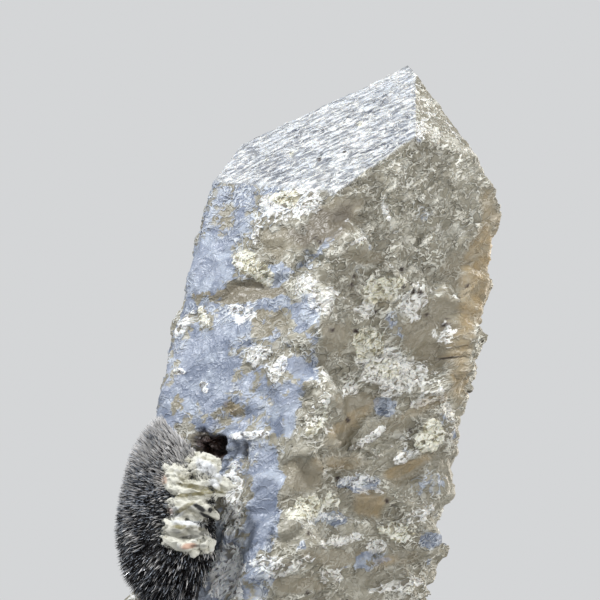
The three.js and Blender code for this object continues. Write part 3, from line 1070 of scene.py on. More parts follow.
    def build(self, effects: StoneEffects) -> Material:
        """Build the material.

        Args:
            effects: the shared node groups.

        Returns:
            The material.
        """
        material, bench, shader = new_material("frosted_quartz")
        seen = QuartzPatterns(bench, effects)
        colour = self.crusts(seen, self.stone(seen))
        lines = self.cap_lines(seen, effects)
        colour = bench.mix(lines, colour, self.streak)
        # Painted glow: warm light shining through the glass from behind, where the AMBER marks lie.
        glow = bench.times(bench.attribute("amber_glow"), bench.grade(seen.edge, 0.3, 0.7, 0.35, 0.85))
        colour = bench.mix(glow, colour, self.amber_glow)
        specks = bench.group(effects.specks, seen.at, Scale=300.0, Share=0.045, Size=0.09)["Mask"]
        # The dark value includes the painted shade of the pocket beside the tuft.
        dark = bench.larger(bench.times(specks, self.speck_share), bench.attribute("dark"))
        colour = bench.mix(dark, colour, self.dark)
        bench.lead(shader, colour, bench.math("MULTIPLY_ADD", seen.rough, 0.2, 0.38))
        level = bench.math("MULTIPLY_ADD", seen.rough, 0.8, 0.2)
        fine = bench.times(seen.fine["Height"], self.fine_height)
        height = bench.math("MULTIPLY_ADD", seen.coarse["Height"], self.coarse_height, fine)
        grain = bench.times(bench.noise(seen.at, 2800.0, 2.0), self.grain_height)
        height = bench.math("MULTIPLY_ADD", height, level, grain)
        winds = bench.times(seen.curls["Height"], self.curl_height, level)
        height = bench.plus(bench.plus(height, winds), bench.times(lines, -self.line_depth))
        bench.emboss(shader, height, 1.0, MM)
        shader.inputs["IOR"].default_value = self.refraction
        shader.inputs["Subsurface Weight"].default_value = self.milkiness
        shader.inputs["Subsurface Radius"].default_value = (1.0, 0.85, 0.7)
        shader.inputs["Subsurface Scale"].default_value = self.milk_depth
        return material


@dataclass(frozen=True)
class BlackNeedles:
    """Glossy black needles, some with painted silvery glints towards the tip, some coated pale
    there, with painted glints too.
    """

    dark: tuple = (0.012, 0.011, 0.012, 1.0)
    silver_glint: tuple = (0.68, 0.75, 0.86, 1.0)
    dust_and_glint: tuple = (0.94, 0.915, 0.89, 1.0)
    gloss: float = 0.24
    refraction: float = 1.65

    def build(self, effects: StoneEffects) -> Material:
        """Build the material.

        Args:
            effects: the shared node groups.

        Returns:
            The material.
        """
        material, bench, shader = new_material("black_needles")
        # Painted glint: silvery light shows along fine lines on the needles.
        line = bench.group(effects.streaks, bench.places(), Keep=0.6, Scale=2500.0)["Line"]
        glint_lines = bench.times(bench.attribute("silver_glint"), bench.grade(line, 0.1, 0.6))
        dust_and_glint = bench.attribute("dust_and_glint")
        colour = bench.mix(dust_and_glint, bench.mix(glint_lines, self.dark, self.silver_glint), self.dust_and_glint)
        bench.lead(shader, colour, bench.plus(bench.times(dust_and_glint, 0.4), self.gloss))
        shader.inputs["IOR"].default_value = self.refraction
        return material


@dataclass(frozen=True)
class CreamClay:
    """Dull cream clay with olive seams, rusty spots and black grains."""

    cream: tuple = (0.70, 0.69, 0.605, 1.0)
    chalk: tuple = (0.76, 0.79, 0.84, 1.0)
    olive: tuple = (0.25, 0.225, 0.125, 1.0)
    rust: tuple = (0.50, 0.28, 0.19, 1.0)
    black: tuple = (0.012, 0.012, 0.012, 1.0)

    def build(self, effects: StoneEffects) -> Material:
        """Build the material.

        Args:
            effects: the shared node groups.

        Returns:
            The material.
        """
        material, bench, shader = new_material("cream_clay")
        at = bench.places()
        scales = bench.group(effects.scales, at, Scale=900.0, Bend=0.0012)
        grain = bench.noise(at, 1800.0, 3.0)
        colour = bench.mix(bench.attribute("chalk"), self.cream, self.chalk)
        seam = bench.times(bench.attribute("seam"), bench.grade(grain, 0.3, 0.6, 0.6, 1.0))
        colour = bench.mix(seam, colour, self.olive)
        colour = bench.mix(bench.attribute("rust"), colour, self.rust)
        colour = bench.mix(bench.attribute("dark"), colour, self.black)
        bench.lead(shader, colour, bench.grade(grain, 0.2, 0.8, 0.6, 0.85))
        height = bench.plus(scales["Height"], bench.times(grain, 0.7))
        bench.emboss(shader, height, 0.8, 0.2 * MM)
        return material


@dataclass(frozen=True)
class PaleFloor:
    """Plain pale studio paper."""

    colour: tuple = (0.46, 0.46, 0.46, 1.0)
    tooth: float = 1.03
    roughness: float = 0.9

    def build(self) -> Material:
        """Build the material, with a faint tooth in it.

        Returns:
            The material.
        """
        material, bench, shader = new_material("pale_floor")
        tooth = bench.noise(bench.places(), 400.0, 2.0)
        lighter = tuple(min(1.0, c * self.tooth) for c in self.colour[:3]) + (1.0,)
        bench.tree.links.new(bench.mix(tooth, self.colour, lighter), shader.inputs["Base Color"])
        shader.inputs["Roughness"].default_value = self.roughness
        return material


@dataclass(frozen=True)
class SkinPlaces:
    """The points of the crystal's skin, and what kind of place each one is.

    own has the points in the crystal's own axes. left is 1 on the frosted side, whose blue is
    partly painted cool light, and 0 on the other, cap is 1 on the faces that close the point, and
    bright on the large face that the key light strikes, whose white is partly painted highlight.
    """

    points: np.ndarray
    own: np.ndarray
    left: np.ndarray
    cap: np.ndarray
    bright: np.ndarray


@dataclass
class QuartzCrystal:
    """The stout leaning crystal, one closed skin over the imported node, with its relief."""

    node: str = "quartz_crystal"
    front_columns: int = 214
    back_columns: int = 76
    rows: int = 326
    front_half_turn: float = 104.0
    apex_share_from: float = 60.0
    floor_gap: float = 0.02
    tip_gap: float = 0.12
    base_fade: float = 2.0
    tip_fade: float = 3.0
    tip_rest: float = 0.6
    frost_border: tuple = (
        (190, 340), (215, 300), (235, 264), (278, 262), (300, 292), (345, 318), (370, 318),
        (384, 306), (400, 299), (459, 287), (495, 279), (530, 271), (548, 262), (600, 252),
    )
    straight_from: tuple = (385.0, 400.0)
    straight_to: tuple = (550.0, 530.0)
    ledge_loss: float = 0.45
    plate_lift: float = 0.75
    plate_sink: float = 0.2
    plate_size: float = 2.9
    chip_size: float = 1.15
    chip_slopes: tuple = (97.0, 211.0, 389.0)
    small_mark: float = 4.0
    noise: StoneNoise = StoneNoise()
    tip: np.ndarray = field(default_factory=lambda: np.zeros(3), init=False)

    def bearings(self) -> np.ndarray:
        """Spread the columns, close together in front and wider apart behind.

        Returns:
            Angles from the front, positive to the right.
        """
        half = np.radians(self.front_half_turn)
        front = np.linspace(-half, half, self.front_columns, endpoint=False)
        back = np.linspace(half, 2 * np.pi - half, self.back_columns, endpoint=False)
        return np.concatenate([front, back])

    def skin(self) -> np.ndarray:
        """Lay the columns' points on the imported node's skin, level by level.

        Returns:
            Points as row by column by axis, from the floor up to just under the tip.
        """
        outlines = LevelOutlines(self.node)
        corners = outlines.triangles().reshape(-1, 3)
        self.tip = corners[corners[:, 2].argmax()]
        levels = np.linspace(self.floor_gap, self.tip[2] - self.tip_gap, self.rows)
        axis = LONG_AXIS[:2] / LONG_AXIS[2] * levels[:, None]
        top = LONG_AXIS[:2] / LONG_AXIS[2] * self.tip[2]
        above = self.tip[2] - self.apex_share_from
        share = np.clip((levels - self.apex_share_from) / above, 0, 1)
        centres = axis + share[:, None] * (self.tip[:2] - top)
        bearings = self.bearings()
        reach = outlines.reach(levels, centres, bearings)
        soft = reach.copy()
        soft[1:-1] = 0.25 * reach[:-2] + 0.5 * reach[1:-1] + 0.25 * reach[2:]
        soft = 0.25 * np.roll(soft, 1, 1) + 0.5 * soft + 0.25 * np.roll(soft, -1, 1)
        x = centres[:, :1] + soft * np.sin(bearings)
        y = centres[:, 1:] - soft * np.cos(bearings)
        z = np.repeat(levels[:, None], len(bearings), 1)
        z[0] = 0.0
        return np.stack([x, y, z], -1)

    def normals(self, skin: np.ndarray) -> np.ndarray:
        """Cross the skin's step along a row with its step up a column.

        Args:
            skin: points as row by column by axis.

        Returns:
            Outward directions of length 1, in the same layout.
        """
        along = np.roll(skin, -1, 1) - np.roll(skin, 1, 1)
        up = np.gradient(skin, axis=0)
        return unit(np.cross(along, up))

    def build(self, material: Material) -> Object:
        """Build the crystal: its skin, pushed out along its normals by the relief.

        Args:
            material: its finish.

        Returns:
            The piece.
        """
        skin = self.skin()
        points = skin.reshape(-1, 3)
        facing = self.broad_normals(skin).reshape(-1, 3)
        own_facing = facing @ STANDING
        bearing = np.degrees(np.arctan2(own_facing[:, 0], -own_facing[:, 1]))
        cap = smooth_step(0.25, 0.5, own_facing[:, 2])
        # bright marks the cap face that faces the key light, above a line in the picture; painted
        # highlight goes there.
        above = smooth_step(218.0, 206.0, VIEW.pixels(points)[1])
        bright = cap * smooth_step(20.0, 0.0, bearing) * above
        left = self.frosted_and_cool_lit_side(points, facing, bearing)
        at = SkinPlaces(points, points @ STANDING, left, cap, bright)
        values, lift = self.marked(points, facing)
        smooth_plate = self.coat(at, values)
        push = self.relief(at, values["rough"], smooth_plate)
        crumpled = self.noise.curls(self.noise.bent(at.own, 1.5, 0.7, 31), 1.3, 30)
        push += lift * (0.35 + 1.1 * crumpled)
        fade = smooth_step(0.0, self.base_fade, points[:, 2])
        fade *= smooth_step(0.0, self.tip_fade, self.tip[2] - points[:, 2] + self.tip_rest)
        moved = points + facing * (push * fade)[:, None]
        moved[:, 2] = np.maximum(moved[:, 2], 0.0)
        return self.closed(moved, skin.shape[:2], values, material)

    def broad_normals(self, skin: np.ndarray) -> np.ndarray:
        """Blend each normal with its neighbours' a few times, so that the relief doesn't cross.

        Args:
            skin: points as row by column by axis.

        Returns:
            Outward directions of length 1, in the same layout.
        """
        broad = self.normals(skin)
        for _ in range(4):
            broad = unit(broad + np.roll(broad, 1, 1) + np.roll(broad, -1, 1))
            broad[1:-1] = unit(broad[1:-1] + broad[:-2] + broad[2:])
        return broad

    def coat(self, at: SkinPlaces, values: dict) -> np.ndarray:
        """Add the left side's bloom, partly painted cool light, the cap's white coat, partly
        painted highlight, and the roughness to the values.

        Args:
            at: the skin's places.
            values: the cover of each kind of deposit, which is added to.

        Returns:
            How smooth and flat each point is, from 0 to 1.
        """
        own, left, cap, bright = at.own, at.left, at.cap, at.bright
        patchy = self.noise.rough(own, 9.0, 3, 3)
        plates_seen = values["blue"] * left
        # Painted cool light: the left side, which faces the key light, is laid over with blue, and
        # the bright face gets some too. The patches on the right side are the stone's own.
        bloom = left * (0.52 + 0.9 * patchy) * (1 - 0.7 * cap)
        bloom += (1 - left) * 0.5 * smooth_step(0.15, 0.5, self.noise.rough(own, 6.0, 3, 9))
        bloom += 0.3 * bright
        keep_off = np.clip(values["honey"] + values["amber_glow"] + values["cream"], 0, 1)
        values["blue"] = np.clip(np.maximum(values["blue"], bloom * (1 - keep_off)), 0, 1)
        # Painted highlight: the cap's faces are whitened, the bright one most; partly a real white
        # coat.
        cap_white_and_highlight = 0.75 * bright * (0.8 + 0.5 * patchy) + 0.3 * (cap - bright)
        values["white"] = np.clip(values["white"] + cap_white_and_highlight, 0, 1)
        values["cap"] = bright
        smooth_plate = values["honey"] + 0.7 * values["amber_glow"] + plates_seen
        smooth_plate = np.clip(smooth_plate + 0.6 * values["blue"] * left, 0, 1)
        below = smooth_step(46.0, 34.0, own[:, 2])
        worn = (0.5 + 0.8 * below) * self.noise.rough(own, 5.0, 2, 21)
        rough = np.clip(0.9 - 0.25 * below + worn, 0.12, 1)
        rough *= 1 - 0.88 * smooth_plate
        values["rough"] = np.clip(rough + 0.5 * values["white"] + 0.6 * values["cream"], 0, 1)
        return smooth_plate

    def relief(self, at: SkinPlaces, rough: np.ndarray, smooth_plate: np.ndarray) -> np.ndarray:
        """Add up the broken plates, the small chips, the curls and the fine crumple.

        The plates and chips are flat, tilted and of random height, and drawn out along the
        ledges. They are low where the stone is smooth and on the faces that close the point.

        Args:
            at: the skin's places.
            rough: how rough each point is.
            smooth_plate: how smooth and flat each point is.

        Returns:
            How far each point is pushed out, in millimetres.
        """
        noise, slopes, prism = self.noise, self.chip_slopes, 1 - at.cap
        ledge = np.array(LEDGE_ALONG)
        drawn = at.points - self.ledge_loss * (at.points @ ledge)[:, None] * ledge
        step, tilt = noise.facets(noise.bent(drawn, 3.5, 1.2, 2), self.plate_size, 4, slopes)
        push = (step * 0.8 + tilt) * self.plate_lift * (0.12 + 0.88 * prism)
        push = push * (1 - 0.72 * smooth_plate) * (1 - 0.35 * at.left) - self.plate_sink
        step, tilt = noise.facets(noise.bent(drawn, 1.6, 0.6, 7), self.chip_size, 8, slopes)
        push += (0.22 * step + 0.34 * tilt) * rough * (0.4 + 0.6 * prism)
        crests, fine = noise.curls(at.own, 1.7, 12), noise.rough(at.own, 0.8, 2, 14)
        return push + (0.12 * crests + 0.12 * fine) * rough

    def frosted_and_cool_lit_side(
        self, points: np.ndarray, facing: np.ndarray, bearing: np.ndarray
    ) -> np.ndarray:
        """Grade the left side, which is frosted blue and laid over with painted cool light, from
        the right one, which is tan.

        In front the border is a line seen by the camera, and round the back it is a bearing.

        Args:
            points: the skin's points.
            facing: its outward directions.
            bearing: which way each point faces, in degrees from the front.

        Returns:
            1 on the frosted side and 0 on the other.
        """
        across, down = VIEW.pixels(points)
        border = np.interp(down, *np.array(self.frost_border).T)
        straight = smooth_step(*self.straight_from, down) * smooth_step(*self.straight_to, down)
        ragged = 12 * (1 - 0.8 * straight) * self.noise.rough(points, 2.5, 3, 61)
        front = smooth_step(9.0, -9.0, (across - border) * (1 + 1.5 * straight) + ragged)
        behind = smooth_step(12.0, -8.0, bearing) * smooth_step(-150.0, -110.0, bearing)
        return np.where(facing @ VIEW.axes()[2] > 0, front, behind)

    def marked(self, points: np.ndarray, facing: np.ndarray) -> tuple:
        """Lay the marks on the front.

        Args:
            points: the skin's points.
            facing: its outward directions.

        Returns:
            The cover of each kind of deposit, and how far the marks lift the skin.
        """
        across, down = VIEW.pixels(points)
        towards = facing @ VIEW.axes()[2]
        seen = smooth_step(-0.3, -0.05, towards)
        ragged = 0.75 * self.noise.rough(points, 2.2, 4, 40)
        values = {kind.value: np.zeros(len(points)) for kind in Deposit}
        lift = np.zeros(len(points))
        for mark in QUARTZ_MARKS:
            share = 0.4 if min(mark.half_w, mark.half_h) < self.small_mark else 1.0
            cover = mark.cover(across, down, ragged * share) * seen
            values[mark.kind.value] = np.maximum(values[mark.kind.value], cover * mark.strength)
            lift += cover * mark.lift
        return values, lift

    def closed(
        self, points: np.ndarray, shape: tuple, values: dict, material: Material
    ) -> Object:
        """Close the skin with a point on the floor and one at the tip.

        Args:
            points: the raised skin.
            shape: how many rows and columns it has.
            values: values at its points.
            material: its finish.

        Returns:
            The piece.
        """
        rows, columns = shape
        foot = points[:columns].mean(axis=0)
        everything = np.concatenate([points, [foot, self.tip]])
        ends = {key: np.concatenate([v, [v[0], v[-1]]]) for key, v in values.items()}
        quads, fans = ring_grid(rows, columns)
        shaped = ShapedMesh(everything, quads, fans, ends).outward()
        piece = shaped.build("quartz_crystal_skin", material, smooth=True)
        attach(piece, "root")
        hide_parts(self.node)
        return piece


TUFT_MARKS = [
    *marks(Deposit.CREAM, [
        (141, 449, 9, 8, 0, 0, 0.8), (158, 480, 8, 10, 0, 0, 0.85),
        (170, 447, 20, 12, -45, 0, 0.75), (182, 440, 16, 8, -45, 0, 0.7),
        (155, 565, 8, 10, 0, 0, 0.3), (128, 540, 6, 14, 20, 0, 0.3),
    ]),
]


@dataclass
class NeedleTuft:
    """The ball of black needles in the bay, and the dark heart that they stand on."""

    node: str = "needle_tuft"
    root: tuple = (-10.9, -14.2, 22.4)
    left_front_down: tuple = (12.6, 11.5, 17.6)
    right_back_up: tuple = (3.4, 12.0, 13.6)
    squareness: float = 2.5
    shortest: float = 0.3
    tried_shares: tuple = (0.32, 1.0, 35)
    slope_through: tuple = (155.0, 412.0)
    heart_rings: tuple = (60, 110)
    heart_share: float = 0.88
    heart_trim: float = 0.45
    heart_margin: float = 7.0
    right_border: tuple = ((400, 190), (440, 226), (470, 226), (480, 214), (560, 214), (600, 196))
    needles: int = 60000
    open_towards: tuple = (-0.85, -0.55)
    open_from: float = -0.35
    shortest_needle: float = 0.45
    lock_pull: float = 0.3
    needle_scatter: float = 0.12
    needle_foot: float = 0.8
    needle_waist: float = 0.6
    needle_half_width: float = 0.075
    noise: StoneNoise = StoneNoise(WORK_SEED + 4)

    def reach(self, directions: np.ndarray) -> np.ndarray:
        """Measure the tuft along directions: a squarish ellipsoid with its own size each way.

        Args:
            directions: unit vectors in the crystal's own axes.

        Returns:
            The distance from the root to the needles' tips.
        """
        half = np.where(directions < 0, self.left_front_down, self.right_back_up)
        return (np.abs(directions / half) ** self.squareness).sum(-1) ** (-1 / self.squareness)

    def free_share(self, out: np.ndarray, far: np.ndarray, margin: float) -> np.ndarray:
        """Shorten directions until they end in the tuft's own part of the picture.

        Args:
            out: directions from the root, in the crystal's own axes.
            far: how far each one would reach.
            margin: pixels that they stay below the slope.

        Returns:
            The share of its reach that each one keeps, from 0.3 to 1.
        """
        kept = np.full(len(out), self.shortest)
        for share in np.linspace(*self.tried_shares):
            across, down = VIEW.pixels(self.framed(out * (far * share)[:, None]))
            free = self.under_bay(across, down - margin)
            kept = np.where(free & (kept > share - 0.03), share, kept)
        return kept

    def under_bay(self, across: np.ndarray, down: np.ndarray) -> np.ndarray:
        """Tell the tuft's part of the picture from the rest.

        It ends above in a slope that falls to the right, and on the right in the crystal's wall.

        Args:
            across: pixels from the left.
            down: pixels from the top.

        Returns:
            True for what lies in it.
        """
        wall = np.interp(down, *np.array(self.right_border).T)
        left, top = self.slope_through
        return (down > top + (across - left)) & (across < wall)

    def framed(self, own: np.ndarray) -> np.ndarray:
        """Move offsets from the root, in the crystal's own axes, into the frame."""
        return (own + np.array(self.root)) @ STANDING.T

    def heart(self, material: Material) -> Object:
        """Build the heart: a ball of bearing and rise, scaled by the reach and roughened.

        Args:
            material: its finish.

        Returns:
            The piece.
        """
        ball = ringed_ball(*self.heart_rings)
        far = self.reach(ball) * (self.heart_share + 0.03 * self.noise.rough(ball * 12, 1.5, 2))
        far *= 1 - self.heart_trim * smooth_step(-0.2, 0.5, ball[:, 0] - 0.4 * ball[:, 1])
        kept = self.free_share(ball, far, self.heart_margin)
        far *= kept + 0.02 * self.noise.rough(ball * 12, 2.0, 2, 5)
        still = np.zeros(len(ball))
        values = {"silver_glint": still, "dust_and_glint": still}
        shaped = ShapedMesh(self.framed(ball * far[:, None]), *ring_grid(*self.heart_rings), values)
        piece = shaped.outward().build("tuft_heart", material, smooth=True)
        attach(piece, "root")
        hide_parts(self.node)
        return piece

    def directions(self) -> tuple:
        """Spread the needles evenly over a ball by the golden angle, and keep the free ones.

        Returns:
            The needles' directions from the root, and how far each one reaches.
        """
        order = np.arange(self.needles) + 0.5
        out = on_ball(order * np.pi * (3 - np.sqrt(5)), np.arcsin(1 - 2 * order / self.needles))
        out = out[(out[:, :2] * np.array(self.open_towards)).sum(-1) > self.open_from]
        kept = self.free_share(out, self.reach(out), 0.0)
        long_enough = kept > self.shortest_needle
        out = out[long_enough]
        return out, self.reach(out) * kept[long_enough]

    def spray(self, material: Material) -> Object:
        """Build the needles: three-sided spindles that stand out from the heart.

        Each needle starts near the heart's skin, is widest a little way up and ends in a point.
        It is turned by noise that its neighbours share, so that the needles lie in locks.

        Args:
            material: their finish.

        Returns:
            The piece.
        """
        random = np.random.default_rng(WORK_SEED)
        out, far = self.directions()
        count = len(out)
        locks = np.stack([self.noise.wave(out * 10, 2.2, 70 + k) for k in range(3)], -1)
        coated = random.random(count) < 0.03 + 0.2 * self.high_up(out)
        scatter = random.normal(0, self.needle_scatter, (count, 3))
        leaning = unit(out + self.lock_pull * locks + scatter)
        tip_share = 0.985 - 0.13 * random.random(count) ** 1.4
        start = out * (far * self.needle_foot)[:, None]
        rising = leaning * (far * (tip_share - self.needle_foot))[:, None]
        tips = start + rising
        side = unit(np.cross(leaning, random.normal(0, 1, (count, 3))))
        other = np.cross(leaning, side)[:, None]
        width = self.needle_half_width * random.uniform(0.6, 1.35, count) * (1 + 0.8 * coated)
        corner = (np.arange(3) * 2 * np.pi / 3)[None, :, None]
        ring = (side[:, None] * np.cos(corner) + other * np.sin(corner)) * width[:, None, None]
        waist = (start + rising * self.needle_waist)[:, None] + ring
        points = self.framed(np.concatenate([waist, start[:, None], tips[:, None]], axis=1))
        silver_glint, dust_and_glint = self.glints_and_dust(random, out, tips, coated)
        # The painted glints and the dust grow towards each tip.
        tipwards = np.array([0.6, 0.6, 0.6, 0, 1.0])
        values = {
            "silver_glint": (silver_glint[:, None] * (0.3 + 0.7 * tipwards)).ravel(),
            "dust_and_glint": (dust_and_glint[:, None] * tipwards).ravel(),
        }
        first = np.arange(count)[:, None, None] * len(tipwards)
        faces = [(few[None] + first).reshape(-1, few.shape[1]) for few in ring_grid(1, 3)]
        shaped = ShapedMesh(points.reshape(-1, 3), *faces, values).outward()
        piece = shaped.build("tuft_needles", material, smooth=False)
        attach(piece, "root")
        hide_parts(self.node)
        return piece

    def high_up(self, out: np.ndarray) -> np.ndarray:
        """Grade directions from 0 at the middle of the tuft to 1 at its top."""
        return smooth_step(-0.15, 0.55, out[:, 2])

    def glints_and_dust(
        self, random: np.random.Generator, out: np.ndarray, tips: np.ndarray, coated: np.ndarray
    ) -> tuple:
        """Draw each needle's painted silvery glint, and its pale dust, which also stands in for
        glints.

        Args:
            random: the needles' own generator.
            out: their directions from the root.
            tips: their tips, as offsets from the root.
            coated: true for the thick coated ones.

        Returns:
            Each needle's painted silvery glint and its pale dust with painted glint, from 0 to 1.
        """
        count = len(out)
        # Painted glints are more common on the left and at the top of the tuft, which face the key
        # light.
        leftward = smooth_step(0.1, -0.7, out[:, 0]) * smooth_step(-0.75, -0.3, out[:, 2])
        high_up = self.high_up(out)
        silver_glint = random.random(count) < 0.25 + 0.35 * leftward + 0.3 * high_up
        silver_glint = silver_glint * random.uniform(0.2, 1, count)
        dust_and_glint = random.random(count) < 0.07 + 0.2 * leftward + 0.5 * high_up
        dust_and_glint = np.maximum(dust_and_glint * random.uniform(0.7, 1, count), coated)
        across, down = VIEW.pixels(self.framed(tips))
        for mark in TUFT_MARKS:
            shown = mark.strength * mark.cover(across, down, np.zeros(count))
            chosen = random.random(count) < shown
            dust_and_glint = np.maximum(dust_and_glint, chosen * random.uniform(0.5, 1, count))
        return silver_glint, dust_and_glint


CLAY_MARKS = [
    *marks(Deposit.BLUE, [
        (206, 467, 13, 6, -30, 0, 0.7), (216, 480, 6, 9, -10, 0, 0.7),
        (176, 512, 8, 6, 0, 0, 0.5), (190, 524, 20, 4, -4, 0, 0.6),
    ]),
    *marks(Deposit.HONEY, [
        (200, 488, 26, 2.4, -12), (196, 494, 26, 2, 6), (184, 508, 12, 2.4, 30),
        (186, 527, 14, 2.2, 0, 0, 0.7),
    ]),
    *marks(Deposit.DARK, [
        (200, 508, 8, 2.6, -26), (208, 517, 10, 2.2, -28), (210, 510, 2, 3),
        (190, 537, 12, 2.2, 4, 0, 0.7), (176, 531, 6, 2.4, -10, 0, 0.75),
        (203, 533, 5, 3, 20, 0, 0.75), (199, 546, 8, 1.8, 0, 0, 0.6),
        (181, 514, 7, 2, 12, 0, 0.5), (190, 512, 26, 8, -6, 0, 0.3),
        (186, 533, 22, 6, 0, 0, 0.35),
    ]),
    *marks(Deposit.AMBER, [
        (189, 546, 8, 3, 8, 0, 0.8), (163, 479, 4, 5, 20, 0, 0.6), (170, 512, 3, 4, 0, 0, 0.5),
    ]),
]


@dataclass
class CreamCrust:
    """The lump of clay in the tuft, grown from a few large lumps and many crumbs."""

    node: str = "cream_crust"
    lumps: tuple = (
        (-1.7, -8.8, 4.9, 3.0, 2.3, 2.5),
        (-0.4, -8.7, 3.2, 3.6, 2.3, 2.0),
        (-4.4, -9.3, 3.0, 2.3, 2.0, 2.2),
        (-2.2, -9.6, 1.6, 3.5, 2.1, 1.8),
        (-1.7, -9.4, -1.0, 3.6, 2.1, 2.2),
        (-2.2, -9.2, -3.7, 3.7, 2.1, 1.8),
        (-1.8, -8.8, -5.6, 3.4, 1.9, 1.4),
        (0.6, -8.2, -5.0, 1.8, 1.7, 1.6),
    )
    lump_rows: int = 56
    crumbs: int = 30
    crumb_rows: int = 9
    facet_slopes: tuple = (97.0, 97.0, 97.0)
    root: tuple = (-10.9, -14.2, 19.6)
    noise: StoneNoise = StoneNoise(WORK_SEED + 8)

    def lump(self, centre: np.ndarray, half: np.ndarray, rows: int) -> ShapedMesh:
        """Shape one lump: a ball scaled to its half sizes, with level folds and fine grain.

        Args:
            centre: its middle, in the crystal's own axes.
            half: its half sizes.
            rows: how many rings it has. Each ring has twice as many points.

        Returns:
            The lump, standing in the frame.
        """
        noise = self.noise
        ball = ringed_ball(rows, rows * 2)
        own = centre + ball * half
        drawn = noise.bent(own, 3.0, 1.4, 3) * np.array([0.35, 0.6, 1.4])
        folds = 1 - 2.4 * np.abs(noise.wave(drawn, 1.5, 6))
        grain = noise.rough(own, 1.0, 3, 9)
        step, tilt = noise.facets(noise.bent(own, 1.6, 0.8, 4), 1.3, 7, self.facet_slopes)
        size = 0.85 + 0.12 * folds + 0.16 * grain + (0.16 * step + 0.1 * tilt)
        points = (centre + ball * half * size[:, None] + np.array(self.root)) @ STANDING.T
        across, down = VIEW.pixels(points)
        ragged = 0.35 * noise.rough(points, 1.0, 2, 5)
        cover = {kind: np.zeros(len(points)) for kind in Deposit}
        for mark in CLAY_MARKS:
            shown = mark.cover(across, down, ragged) * mark.strength
            cover[mark.kind] = np.maximum(cover[mark.kind], shown)
        hollow = smooth_step(0.35, -0.2, folds)
        values = {
            "chalk": np.clip(cover[Deposit.BLUE] + 0.35 * smooth_step(0.1, 0.6, grain), 0, 1),
            "seam": np.clip(cover[Deposit.HONEY] + 0.5 * hollow, 0, 1),
            "rust": cover[Deposit.AMBER],
            "dark": cover[Deposit.DARK],
        }
        return ShapedMesh(points, *ring_grid(rows, rows * 2), values).outward()

    def build(self, material: Material) -> Object:
        """Build the crust.

        Args:
            material: its finish.

        Returns:
            The piece.
        """
        random = np.random.default_rng(WORK_SEED + 2)
        table = np.array(self.lumps)
        parts = [self.lump(row[:3], row[3:], self.lump_rows) for row in table]
        host = table[random.integers(0, len(table), self.crumbs)]
        spread = unit(random.normal(0, 1, (self.crumbs, 3)))
        spread[:, 1] = -np.abs(spread[:, 1])
        places = host[:, :3] + spread * host[:, 3:] * 0.93
        sizes = random.uniform(0.22, 0.75, (self.crumbs, 1))
        halves = sizes * random.uniform(0.7, 1.3, (self.crumbs, 3))
        parts += [self.lump(place, half, self.crumb_rows) for place, half in zip(places, halves)]
        piece = joined(parts).build("cream_crust_lumps", material, smooth=True)
        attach(piece, "root")
        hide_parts(self.node)
        return piece


@dataclass(frozen=True)
class SoftLamp:
    """A square soft lamp that points at the crystal, in millimetres and watts."""

    name: str
    place: tuple
    side: float
    watts: float
    tint: tuple
    aim: tuple = (5.0, 0.0, 50.0)

    def build(self) -> Object:
        """Hang the lamp, with its back turned away from what it points at.

        Returns:
            The lamp.
        """
        data = bpy.data.lights.new(self.name, "AREA")
        data.size = self.side * MM
        data.energy = self.watts
        data.color = self.tint
        lamp = bpy.data.objects.new(self.name, data)
        back = unit(np.array(self.place) - np.array(self.aim))
        right = unit(np.cross([0.0, 0.0, 1.0], back))
        stand(lamp, (right, np.cross(back, right), back), np.array(self.place))
        return lamp


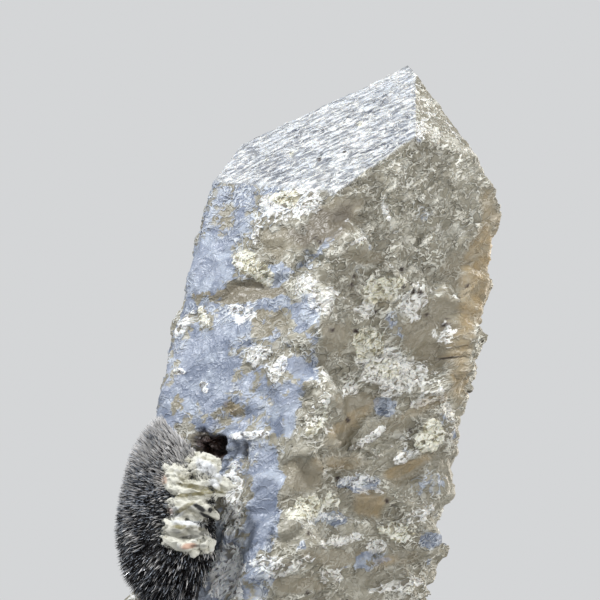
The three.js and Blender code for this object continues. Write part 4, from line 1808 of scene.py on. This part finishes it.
@dataclass
class StudioSet:
    """A pale floor in pale air, and a few soft lamps."""

    floor_radii: tuple = (40.0, 4000.0)
    floor_rings: tuple = (8, 96)
    floor_drop: float = 0.05
    air: tuple = (0.93, 0.96, 1.0, 1.0)
    surroundings: float = 0.33
    backdrop: tuple = (0.66, 0.67, 0.68, 1.0)
    lamps: tuple = (
        SoftLamp("key_lamp", (-240.0, -200.0, 430.0), 70.0, 2.45, (0.975, 0.985, 1.0)),
        SoftLamp("fill_lamp", (380.0, -420.0, 140.0), 420.0, 2.0, (1.0, 0.99, 0.975)),
        SoftLamp("rim_lamp", (300.0, 260.0, 160.0), 200.0, 1.1, (1.0, 0.93, 0.82)),
    )

    def floor(self, material: Material) -> Object:
        """Lay rings of points about the upright axis, from the middle out to the edge.

        Args:
            material: its finish.

        Returns:
            The floor.
        """
        rings, columns = self.floor_rings
        turn = np.linspace(0, 2 * np.pi, columns, endpoint=False)
        out = np.linspace(*self.floor_radii, rings)[:, None]
        low = np.full((rings, columns), -self.floor_drop)
        laid = np.stack([out * np.cos(turn), out * np.sin(turn), low], -1)
        points = np.concatenate([laid.reshape(-1, 3), [[0, 0, -self.floor_drop]]])
        quads, fans = ring_grid(rings, columns)
        shaped = ShapedMesh(points, quads, fans[:columns], {})
        backdrop = shaped.build("studio_floor", material, smooth=True)
        return backdrop

    def build(self) -> None:
        """Set up the surrounding light, the floor and the lamps."""
        world = bpy.data.worlds.new("studio_air")
        world.use_nodes = True
        bench = Bench(world.node_tree)
        lit = world.node_tree.nodes["Background"]
        lit.inputs["Color"].default_value = self.air
        lit.inputs["Strength"].default_value = self.surroundings
        seen = bench.put("ShaderNodeBackground", {"Color": self.backdrop, "Strength": 1.0})
        straight = bench.put("ShaderNodeLightPath").outputs["Is Camera Ray"]
        shaders = {0: straight, 1: lit.outputs[0], 2: seen.outputs[0]}
        both = bench.put("ShaderNodeMixShader", shaders)
        out = world.node_tree.nodes["World Output"]
        world.node_tree.links.new(both.outputs[0], out.inputs["Surface"])
        bpy.context.scene.world = world
        bpy.context.scene.view_settings.view_transform = "Standard"
        self.floor(PaleFloor().build())
        for lamp in self.lamps:
            lamp.build()


def report(piece: Object) -> None:
    """Log a piece's name and how many faces it has."""
    log.info("%s: %d faces", piece.name, len(piece.data.polygons))


def main() -> None:
    """Build the set, and then the pieces one by one."""
    logging.basicConfig(level=logging.INFO, format="%(name)s %(message)s")
    VIEW.build()
    StudioSet().build()
    effects = StoneEffects()
    report(QuartzCrystal().build(FrostedQuartz().build(effects)))
    tuft = NeedleTuft()
    needles = BlackNeedles().build(effects)
    report(tuft.heart(needles))
    report(tuft.spray(needles))
    report(CreamCrust().build(CreamClay().build(effects)))


if __name__ == "__main__":
    main()
